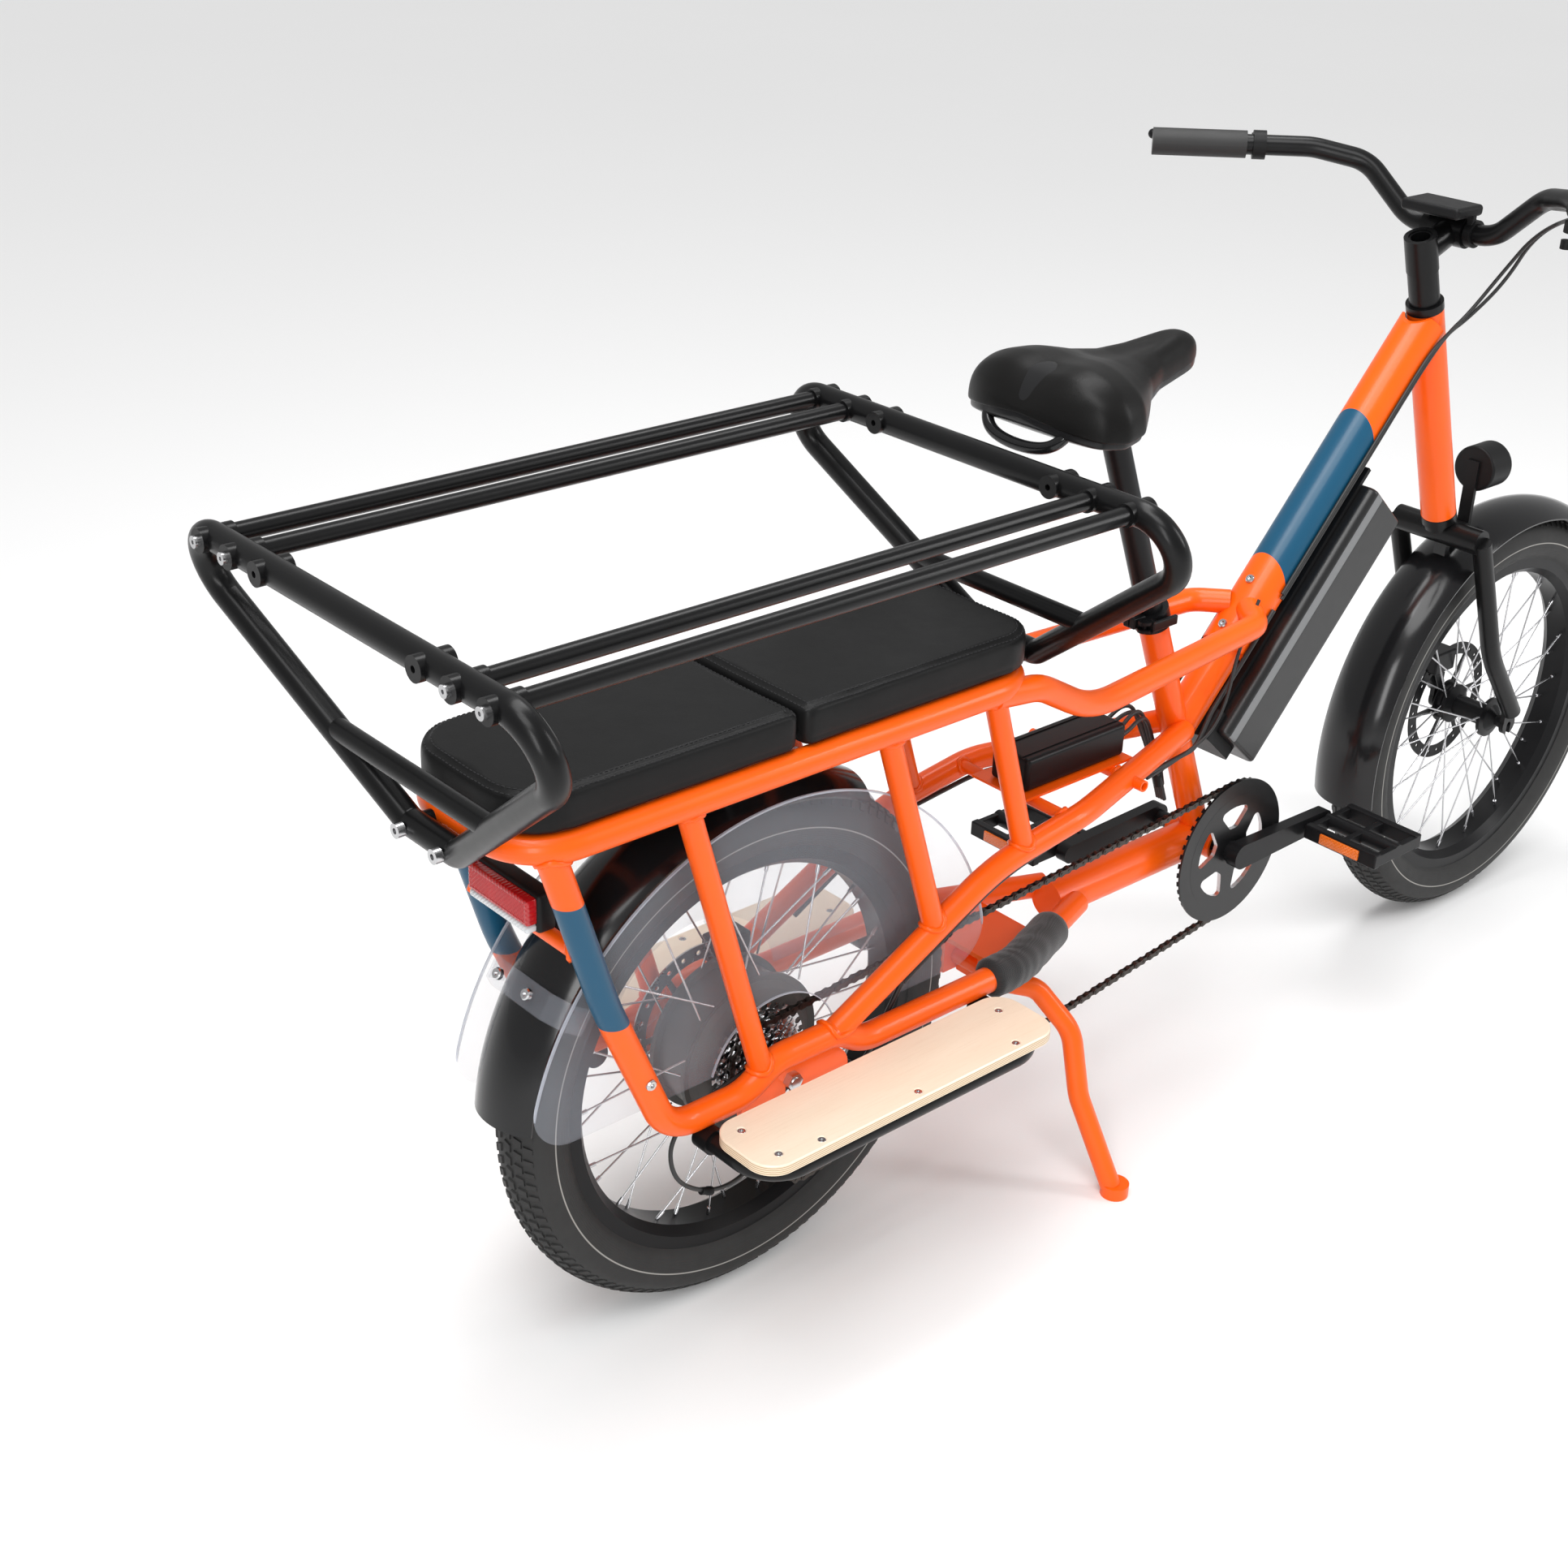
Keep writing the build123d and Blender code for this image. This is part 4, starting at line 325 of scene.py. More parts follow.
def birch():
    """Clear-coated birch plywood: pale face grain, and glued plies on the edges."""
    made = Finish("birch_plywood")
    x, y, z = made.axes()
    flow = made.noise(5.0, 3.0, 0.55, (1.0, 9.0, 1.0))
    grain = made.noise(60.0, 4.0, 0.65, (0.35, 7.0, 1.0))
    fleck = made.noise(420.0, 2.0, 0.5, (0.25, 4.0, 1.0))
    face = made.mix(flow, (0.84, 0.74, 0.59), (0.78, 0.66, 0.50))
    face = made.mix(grain.ramp(0.50, 0.80) * 0.30, face, (0.66, 0.51, 0.36))
    face = made.mix(fleck.ramp(0.64, 0.80) * 0.30, face, (0.55, 0.40, 0.27))
    ply = ((z - 0.293) * (math.pi / 0.0012)).sin()
    edge = z.within(0.2915, 0.3036, 0.0002)
    plies = made.mix(ply.ramp(-0.3, 0.3), (0.50, 0.34, 0.20), (0.82, 0.68, 0.50))
    normal = made.node("ShaderNodeNewGeometry").outputs["Normal"]
    side = Value(made, made.node("ShaderNodeSeparateXYZ", None, {0: normal}).outputs[2]).abs() < 0.6
    made.set(base_color=made.mix(edge * side, face, plies), roughness=wear(made, 0.30, 0.42),
             coat_weight=0.25,
             coat_roughness=0.15, normal=made.bump(grain, 0.00008, 0.3))
    return made.material


def clear_sheet(name, edge_highlight_mask=None):
    """Thin flexible clear plastic, drawn more opaque along its cut edge so that it is brighter and bluer there:
    a painted highlight for the light the edge catches.
    """
    made = Finish(name)
    smear = made.noise(18.0, 3.0)
    alpha = smear * 0.05 + 0.09
    colour = (0.50, 0.53, 0.60)
    if edge_highlight_mask is not None:
        # painted highlight: the sheet is made more opaque along its edges, standing in for the light its cut
        # edge catches
        rim = edge_highlight_mask(made)
        alpha = alpha + rim * 0.5
    made.set(base_color=colour, roughness=wear(made, 0.05, 0.12), alpha=alpha,
             normal=made.bump(made.noise(9.0, 2.0), 0.0015, 0.2))
    made.shader.inputs["IOR"].default_value = 1.46
    made.material.surface_render_method = "BLENDED"
    return made.material


# Mask for the skirt's painted edge highlight: bands at its outer edge and round its axle cut-out.
def skirt_edge_highlight(made):
    x, y, z = made.axes()
    radius = ((x - at(0).x) ** 2.0 + (z - 0.302) ** 2.0).root()
    outer = radius.within(0.3155, 0.320, 0.0006)
    cut = radius.within(0.080, 0.0895, 0.0008)
    return (outer + cut).math("MINIMUM", 1.0)


def lens(name, colour, rough=0.12):
    made = Finish(name)
    x, y, z = made.axes()
    facets = (y * 1300.0).sin() * (z * 1300.0).sin()
    made.set(base_color=made.mix(made.noise(50.0), tuple(c * 0.7 for c in colour), colour),
             roughness=wear(made, rough, rough + 0.1),
             coat_weight=0.35, coat_roughness=0.05, normal=made.bump(facets, 0.0006, 0.6))
    return made.material


red_lens = lens("red_lens", (0.52, 0.010, 0.014))
amber_lens = lens("amber_lens", (0.80, 0.16, 0.01))
clear_lens = lens("headlight_lens", (0.75, 0.78, 0.80))


def knit():
    """Thick stretch wrap with a knitted face."""
    made = Finish("neoprene_wrap")
    x, y, z = made.axes()
    rows = (x * 2600.0 + y * 1900.0).sin() * (z * 2600.0).sin()
    made.set(base_color=made.mix(made.noise(35.0, 3.0), (0.007, 0.007, 0.0075), (0.016, 0.016, 0.017)),
             roughness=wear(made, 0.75, 0.9), normal=made.bump(rows, 0.0003, 0.5))
    made.shader.inputs["Sheen Weight"].default_value = 0.3
    return made.material


def battery_plastic():
    """Moulded case with a grey inlay strip and parting lines along it."""
    made = Finish("battery_case")
    x, y, z = made.axes()
    drop = (x - MAIN_REF.x) * math.sin(MAIN_ANGLE) - (z - MAIN_REF.z) * math.cos(MAIN_ANGLE)
    strip = drop.within(0.046, 0.061, 0.0003) * (y.abs() > 0.0445)
    seam = drop.within(0.0445, 0.0460, 0.0002) + drop.within(0.061, 0.0625, 0.0002)
    grain = made.noise(1500.0, 2.0)
    colour = made.mix(strip, made.mix(made.noise(12.0), (0.006, 0.006, 0.0065), (0.010, 0.010, 0.0105)),
                      (0.16, 0.165, 0.17))
    made.set(base_color=colour, roughness=wear(made, 0.30, 0.40), normal=made.bump(grain * 0.3 - seam * 3.0,
        0.0003, 0.5))
    return made.material


def ring_plate():
    """Black chainring whose window edges are machined bright."""
    made = Finish("chainring_black")
    x, y, z = made.axes()
    hub = at(780, 0, 300)
    radius = ((x - hub.x) ** 2.0 + (z - hub.z) ** 2.0).root()
    normal = made.node("ShaderNodeNewGeometry").outputs["Normal"]
    across = Value(made, made.node("ShaderNodeSeparateXYZ", None, {0: normal}).outputs[1]).abs()
    bright = radius.within(0.0300, 0.0655, 0.0002) * (across < 0.5)
    colour = made.mix(bright, (0.005, 0.005, 0.0055), (0.72, 0.72, 0.73))
    made.set(base_color=colour, metallic=bright, roughness=wear(made, 0.26, 0.38),
             normal=made.bump(made.noise(900.0), 0.00003, 0.3))
    made.shader.inputs["Specular IOR Level"].default_value = 0.4
    return made.material


def saddle_base():
    return black_coat("saddle_base_plastic", (0.008, 0.008, 0.0085), 0.25, 0.35, 0.2, 0.00005)


birch_ply = birch()
skirt_clear = clear_sheet("clear_skirt", skirt_edge_highlight)
strap_clear = clear_sheet("clear_strap")
neoprene = knit()
battery_case = battery_plastic()
chainring_black = ring_plate()
base_plastic = saddle_base()
rear_tyre_rubber = tyre_material("rear_tyre_rubber", at(0).x)
front_tyre_rubber = tyre_material("front_tyre_rubber", at(1403).x)

NODE_FINISH = {
    "seat_tube": orange, "main_tube": orange_main, "deck_loop": orange, "rear_stays": orange_struts,
    "side_stays": orange, "frame_braces": orange, "lower_yoke": orange, "kickstand": orange,
    "rear_hoop": black_powder, "front_hoop": black_powder, "side_rails": black_powder,
               "rail_bolts": bright_steel,
    "board_frames": black_powder, "running_boards": birch_ply, "deck_pads": pad_vinyl,
    "rear_tyre": rear_tyre_rubber, "front_tyre": front_tyre_rubber, "rear_rim": black_anodised,
    "front_rim": black_anodised, "rear_spokes": spoke_steel, "front_spokes": spoke_steel,
               "hub_motor": motor_cast,
    "front_hub": black_anodised, "rear_rotor": rotor_steel, "cassette": bright_steel,
               "rear_axle": bright_steel,
    "chain": dark_steel, "derailleur_body": black_anodised, "derailleur_cage": black_anodised,
    "guide_pulley": black_moulded, "tension_pulley": black_moulded, "chainring": chainring_black,
    "cranks": black_anodised, "left_pedal": black_anodised, "right_pedal": black_anodised,
    "rear_fender": gloss_moulded, "front_fender": gloss_moulded, "wheel_skirts": skirt_clear,
    "skirt_brackets": strap_clear, "taillight": red_lens, "controller_box": black_anodised,
    "battery_cradle": black_moulded, "battery_pack": battery_case, "kickstand_sleeve": neoprene,
    "seat_collar": black_anodised, "seat_lever": black_anodised, "seat_post": black_anodised,
    "saddle": saddle_vinyl, "fork": black_powder, "handlebar": black_powder, "grips": grip_rubber,
    "throttle": grip_rubber, "bar_controls": black_moulded, "left_brake_lever": black_anodised,
    "right_brake_lever": black_anodised, "shift_lever": black_moulded, "headlight": black_moulded,
    "rear_caliper": black_anodised, "front_caliper": black_anodised, "frame_cables": cable_rubber,
}
for name, material in NODE_FINISH.items():
    node = NODES[name]
    node.data.materials.clear()
    node.data.materials.append(material)

# ---------------------------------------------------------------- pieces: tools
def deselect():
    if bpy.context.object and bpy.context.object.mode != "OBJECT":
        bpy.ops.object.mode_set(mode="OBJECT")
    bpy.ops.object.select_all(action="DESELECT")


deselect()


def name_last(name, material):
    piece = bpy.context.active_object
    piece.name = name
    piece.data.name = name
    piece.data.materials.clear()
    piece.data.materials.append(material)
    return piece


def seat_piece(piece, body, smooth=35.0, replaced=()):
    """Puts the piece's place into its mesh, shades it, and lets it ride on its body; given a tuple of bodies,
    it stays where it is, on no body.
    """
    deselect()
    piece.select_set(True)
    bpy.context.view_layer.objects.active = piece
    bpy.ops.object.transform_apply(location=True, rotation=True, scale=True)
    if smooth:
        bpy.ops.object.shade_smooth_by_angle(angle=math.radians(smooth))
    if isinstance(body, tuple):
        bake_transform(piece)
    else:
        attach(piece, body)
    if replaced:
        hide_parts(*replaced)
    deselect()
    return piece


def apply_all(piece):
    deselect()
    piece.select_set(True)
    bpy.context.view_layer.objects.active = piece
    for modifier in list(piece.modifiers):
        bpy.ops.object.modifier_apply(modifier=modifier.name)


def finished(mesh, name, material):
    """Turns mesh code into an object of its own whose faces point outwards."""
    bmesh.ops.recalc_face_normals(mesh, faces=mesh.faces)
    data = bpy.data.meshes.new(name)
    mesh.to_mesh(data)
    mesh.free()
    piece = bpy.data.objects.new(name, data)
    bpy.context.scene.collection.objects.link(piece)
    data.materials.append(material)
    return piece


def ring_round(mesh, centre, u, v, radius, sides):
    """A ring of points round a centre, in the plane of u and v."""
    angles = [2 * math.pi * k / sides for k in range(sides)]
    return [mesh.verts.new(centre + (u * math.cos(angle) + v * math.sin(angle)) * radius) for angle in angles]


def skin(mesh, rings):
    """Faces between each ring of points and the next."""
    for a, b in zip(rings, rings[1:]):
        count = len(a)
        for k in range(count):
            mesh.faces.new((a[k], a[(k + 1) % count], b[(k + 1) % count], b[k]))


# ---------------------------------------------------------------- chain
LINK = 12.7


def pitch_r(teeth):
    return LINK / 2 / math.sin(math.pi / teeth)


WHEELS = ((780.0, 300.0, pitch_r(46), 1), (0.0, 302.0, pitch_r(23), 1), (14.0, 224.0, pitch_r(11), -1),
          (62.0, 142.0, pitch_r(11), 1))


def straight_between(a, b):
    """The straight chain run from wheel a to wheel b; a wheel is (x, z, radius, turn)."""
    distance = math.hypot(b[0] - a[0], b[1] - a[1])
    heading = math.atan2(b[1] - a[1], b[0] - a[0])
    heading -= math.asin((b[3] * b[2] - a[3] * a[2]) / distance)
    nx, nz = -math.sin(heading), math.cos(heading)
    return ((a[0] - nx * a[3] * a[2], a[1] - nz * a[3] * a[2]), (b[0] - nx * b[3] * b[2],
        b[1] - nz * b[3] * b[2]))


def chain_line(steps=24):
    """The chain's pitch line as a closed list of points."""
    runs = [straight_between(WHEELS[n], WHEELS[(n + 1) % 4]) for n in range(4)]
    points = []
    for number in range(4):
        start, end = runs[number]
        points.append(start)
        wheel = WHEELS[(number + 1) % 4]
        leave = runs[(number + 1) % 4][0]
        first = math.atan2(end[1] - wheel[1], end[0] - wheel[0])
        last = math.atan2(leave[1] - wheel[1], leave[0] - wheel[0])
        sweep = ((last - first) * wheel[3]) % (2 * math.pi) * wheel[3]
        for step in range(steps):
            angle = first + sweep * step / steps
            points.append((wheel[0] + wheel[2] * math.cos(angle), wheel[1] + wheel[2] * math.sin(angle)))
    return points


def link_places():
    """Pin places along the pitch line, one pitch apart as near as the loop allows."""
    points = chain_line()
    closed = points + [points[0]]
    lengths = [math.dist(closed[n], closed[n + 1]) for n in range(len(points))]
    total = sum(lengths)
    count = round(total / LINK / 2) * 2
    places = []
    for number in range(count):
        goal = total * number / count
        index = 0
        while goal > lengths[index]:
            goal -= lengths[index]
            index += 1
        share = goal / lengths[index]
        a, b = closed[index], closed[index + 1]
        places.append((a[0] + (b[0] - a[0]) * share, a[1] + (b[1] - a[1]) * share))
    return places


def side_plate(mesh, a, b, y, thick, waist):
    """One figure-eight side plate between two pins."""
    ax, az = a
    bx, bz = b
    heading = math.atan2(bz - az, bx - ax)
    middle = ((ax + bx) / 2, (az + bz) / 2)
    rim = []
    end_r = 4.15
    for step in range(7):
        angle = heading - math.pi / 2 + math.pi * step / 6
        rim.append((bx + end_r * math.cos(angle), bz + end_r * math.sin(angle)))
    rim.append((middle[0] - waist * math.sin(heading), middle[1] + waist * math.cos(heading)))
    for step in range(7):
        angle = heading + math.pi / 2 + math.pi * step / 6
        rim.append((ax + end_r * math.cos(angle), az + end_r * math.sin(angle)))
    rim.append((middle[0] + waist * math.sin(heading), middle[1] - waist * math.cos(heading)))
    faces = []
    for side_y in (y - thick / 2, y + thick / 2):
        faces.append([mesh.verts.new(at(px, side_y, pz)) for px, pz in rim])
    mesh.faces.new(faces[0])
    mesh.faces.new(list(reversed(faces[1])))
    count = len(rim)
    for n in range(count):
        mesh.faces.new((faces[0][n], faces[1][n], faces[1][(n + 1) % count], faces[0][(n + 1) % count]))


def round_pin(mesh, x, z, radius, low, high, sides=10):
    rings = []
    for y in (low, high):
        rings.append([mesh.verts.new(at(x + radius * math.cos(2 * math.pi * n / sides), y,
                                        z + radius * math.sin(2 * math.pi * n / sides))) for n in range(sides)])
    mesh.faces.new(rings[0])
    mesh.faces.new(list(reversed(rings[1])))
    for n in range(sides):
        mesh.faces.new((rings[0][n], rings[1][n], rings[1][(n + 1) % sides], rings[0][(n + 1) % sides]))


def make_chain():
    mesh = bmesh.new()
    pins = link_places()
    chain_y = -50.0
    for number, pin in enumerate(pins):
        ahead_pin = pins[(number + 1) % len(pins)]
        gap = 1.75 if number % 2 else 2.85
        for side in SIDES:
            side_plate(mesh, pin, ahead_pin, chain_y + side * gap, 0.95, 2.7)
        round_pin(mesh, pin[0], pin[1], 3.85, chain_y - 1.2, chain_y + 1.2, 12)
        round_pin(mesh, pin[0], pin[1], 1.8, chain_y - 3.9, chain_y + 3.9, 8)
    piece = finished(mesh, "chain_links", dark_steel)
    return seat_piece(piece, "frame", 40.0, ("chain",))


make_chain()

# ---------------------------------------------------------------- weld beads
def tube_frame(axis):
    axis = axis.normalized()
    helper = Vector((0, 0, 1)) if abs(axis.z) < 0.9 else Vector((1, 0, 0))
    u = axis.cross(helper).normalized()
    return u, axis.cross(u).normalized()


def bead_ring(mesh, points, radius, ripple):
    """A closed rope of weld metal along a loop of points, with the ripples of its dips."""
    sides = 7
    count = len(points)
    rings = []
    for n, point in enumerate(points):
        way = (points[(n + 1) % count] - points[n - 1]).normalized()
        u, v = tube_frame(way)
        swell = radius * (1.0 + ripple * (1 if n % 2 else -1))
        rings.append(ring_round(mesh, point, u, v, swell, sides))
    for n in range(count):
        ring, following = rings[n], rings[(n + 1) % count]
        shift = min(range(sides), key=lambda k: (following[k].co - ring[0].co).length)
        for k in range(sides):
            mesh.faces.new((ring[k], ring[(k + 1) % sides], following[(k + 1 + shift) % sides],
                            following[(k + shift) % sides]))


class TubeHit:
    """Finds where a straight ray leaves one CAD node's surface."""

    def __init__(self, names):
        corners, faces = [], []
        for name in names:
            data = NODES[name].data
            base = len(corners)
            corners.extend(v.co.copy() for v in data.vertices)
            for polygon in data.polygons:
                faces.append([base + i for i in polygon.vertices])
        self.tree = BVHTree.FromPolygons(corners, faces)


def weld(mesh, start, way, tube_r, target, reach=0.06, bead_r=0.0032):
    """A bead where a tube of radius tube_r, whose axis leaves start along way, meets the target's surface."""
    way = way.normalized()
    u, v = tube_frame(way)
    count = max(20, int(2 * math.pi * tube_r / 0.0032))
    count += count % 2
    points = []
    for n in range(count):
        angle = 2 * math.pi * n / count
        spoke = u * math.cos(angle) + v * math.sin(angle)
        origin = start + spoke * tube_r
        hit = target.tree.ray_cast(origin, way, reach)
        if hit[0] is None:
            points.append(None)
        else:
            points.append(hit[0] - way * 0.0004 + spoke * 0.0004)
    found = [p for p in points if p is not None]
    if len(found) < count * 0.6:
        return 0
    for n in range(count):
        if points[n] is None:
            before = next(points[(n - k) % count] for k in range(1,
                count) if points[(n - k) % count] is not None)
            after = next(points[(n + k) % count] for k in range(1,
                count) if points[(n + k) % count] is not None)
            points[n] = (before + after) * 0.5
    bead_ring(mesh, points, bead_r, 0.14)
    return 1


def weld_piece(name, jobs, material):
    mesh = bmesh.new()
    made = 0
    for job in jobs:
        made += weld(mesh, *job)
    piece = finished(mesh, name, material)
    print(name, "beads", made, "of", len(jobs))
    return seat_piece(piece, "frame", 60.0)


DECK_Z, STAY_Y, RAIL_Z, ARCH_Z = 676.0, 90.0, 307.0, 333.0
STRUTS = ((273, 339, 471), (118, 209, 404), (-144, -36, RAIL_Z + 14))
deck_skin = TubeHit(["deck_loop"])
stay_skin = TubeHit(["side_stays"])
rail_skin = TubeHit(["rear_stays"])
seat_skin = TubeHit(["seat_tube"])
main_skin = TubeHit(["main_tube"])
jobs = []
for side in SIDES:
    y = side * STAY_Y
    for number, (top_x, foot_x, foot_z) in enumerate(STRUTS):
        high, low = at(top_x, y, DECK_Z - 4), at(foot_x, y, foot_z)
        middle = (high + low) * 0.5
        jobs.append((middle, high - middle, 0.0125, deck_skin, 0.5))
        jobs.append((middle, low - middle, 0.0125, rail_skin if number == 2 else stay_skin, 0.5))
    rear_top, rear_low = at(-303, side * (STAY_Y - 4), DECK_Z + 4), at(-240, y, 484)
    middle = rear_top * 0.7 + rear_low * 0.3
    jobs.append((middle, rear_top - rear_low, 0.015, deck_skin, 0.2))
    jobs.append((at(150, y, 380), at(60, y, ARCH_Z - 2) - at(150, y, 375), 0.0145, rail_skin, 0.2))
    jobs.append((at(560, side * 58, 477), at(702, side * 18, 478) - at(560, side * 58.6, 477), 0.0145,
                 seat_skin, 0.3))
    jobs.append((at(720, side * 57, 610.3), at(776, side * 52, 611) - at(720, side * 57, 610.3), 0.015,
                 main_skin, 0.2))
for x in (-200, 60, 285):
    for side in SIDES:
        jobs.append((at(x, side * 40, DECK_Z), Vector((0, side, 0)), 0.010, deck_skin, 0.2))
for side in SIDES:
    jobs.append((at(-268, side * 40, 552), Vector((0, side, 0)), 0.008, rail_skin, 0.2))
    for x in (415, 545):
        jobs.append((at(x, side * 10, 478), Vector((0, side, 0)), 0.007, stay_skin, 0.2))
main_way = Vector((math.cos(MAIN_ANGLE), 0, math.sin(MAIN_ANGLE)))
jobs.append((MAIN_REF + main_way * 0.2, main_way, 0.030, TubeHit(["main_tube"]), 0.6))
weld_piece("frame_welds", jobs, orange)

# ---------------------------------------------------------------- deck pads
def plan_distance(x, y, low_x, high_x, half_w, low_r, high_r):
    """How far inside a rounded rectangle a point lies, its two low and two high corners rounded apart."""
    middle = (low_x + high_x) / 2
    radius = np.where(x < middle, low_r, high_r)
    qx = np.abs(x - middle) - (high_x - low_x) / 2 + radius
    qy = np.abs(y) - half_w + radius
    outside = np.sqrt(np.maximum(qx, 0) ** 2 + np.maximum(qy, 0) ** 2)
    return radius - outside - np.minimum(np.maximum(qx, qy), 0)


def plan_loop(low_x, high_x, half_w, low_r, high_r, inset, step):
    """Points spaced step apart round a rounded rectangle, inset from its edge."""
    low_x, high_x, half_w = low_x + inset, high_x - inset, half_w - inset
    low_r, high_r = max(low_r - inset, 0.002), max(high_r - inset, 0.002)
    corners = ((high_x - high_r, half_w - high_r, high_r, 0), (low_x + low_r, half_w - low_r, low_r, 90),
               (low_x + low_r, low_r - half_w, low_r, 180), (high_x - high_r, high_r - half_w, high_r, 270))
    rough = []
    for cx, cy, radius, first in corners:
        for turn_step in range(13):
            angle = math.radians(first + 90 * turn_step / 12)
            rough.append((cx + radius * math.cos(angle), cy + radius * math.sin(angle)))
    rough.append(rough[0])
    lengths = [math.dist(rough[n], rough[n + 1]) for n in range(len(rough) - 1)]
    total = sum(lengths)
    count = int(total / step)
    points = []
    for number in range(count):
        goal = total * number / count
        index = 0
        while goal > lengths[index]:
            goal -= lengths[index]
            index += 1
        share = goal / max(lengths[index], 1e-9)
        a, b = rough[index], rough[index + 1]
        points.append((a[0] + (b[0] - a[0]) * share, a[1] + (b[1] - a[1]) * share))
    return points


def coords_of(piece):
    flat = np.zeros(len(piece.data.vertices) * 3, np.float32)
    piece.data.vertices.foreach_get("co", flat)
    return flat.reshape(-1, 3).astype(float)


def set_coords(piece, coords):
    piece.data.vertices.foreach_set("co", np.asarray(coords, np.float32).ravel())
    piece.data.update()


def inflate(piece, pressure, frames, cap):
    """Cloth under air pressure, each point kept within cap of where it began."""
    rest = coords_of(piece)
    cloth = piece.modifiers.new("air", "CLOTH")
    cloth.settings.use_pressure = True
    cloth.settings.uniform_pressure_force = pressure
    cloth.settings.effector_weights.gravity = 0.0
    cloth.settings.quality = 5
    for number in range(1, frames + 1):
        bpy.context.scene.frame_set(number)
    shown = piece.evaluated_get(bpy.context.evaluated_depsgraph_get())
    flat = np.zeros(len(shown.data.vertices) * 3, np.float32)
    shown.data.vertices.foreach_get("co", flat)
    moved = flat.reshape(-1, 3).astype(float)
    piece.modifiers.remove(cloth)
    bpy.context.scene.frame_set(1)
    shift = moved - rest
    length = np.linalg.norm(shift, axis=1, keepdims=True)
    shift *= np.minimum(1.0, cap / np.maximum(length, 1e-9))
    set_coords(piece, rest + shift)


def stitch_row(name, loop, tree, above, body, material, length=0.0042, thick=0.00045):
    """Short raised stitches along a loop, dropped onto the surface below."""
    mesh = bmesh.new()
    count = len(loop)
    for number, (x, y) in enumerate(loop):
        following = loop[(number + 1) % count]
        hit = tree.ray_cast(Vector((x, y, above)), Vector((0, 0, -1)), 0.2)
        if hit[0] is None:
            continue
        way = Vector((following[0] - x, following[1] - y, 0)).normalized()
        across = hit[1].cross(way).normalized()
        along = across.cross(hit[1]).normalized()
        centre = hit[0] + hit[1] * thick * 0.35
        rings = []
        for share, size in ((-0.5, 0.35), (-0.38, 1.0), (0.38, 1.0), (0.5, 0.35)):
            middle = centre + along * length * share - hit[1] * thick * (0.6 if abs(share) > 0.45 else 0.0)
            rings.append(ring_round(mesh, middle, across * 1.3, hit[1], thick * size, 6))
        skin(mesh, rings)
        mesh.faces.new(list(reversed(rings[0])))
        mesh.faces.new(rings[-1])
    piece = finished(mesh, name, material)
    return seat_piece(piece, body, 60.0)


PAD_LOW, PAD_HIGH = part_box("deck_pads")
PAD_SPLIT = at(-6).x
SWELL = 0.0020


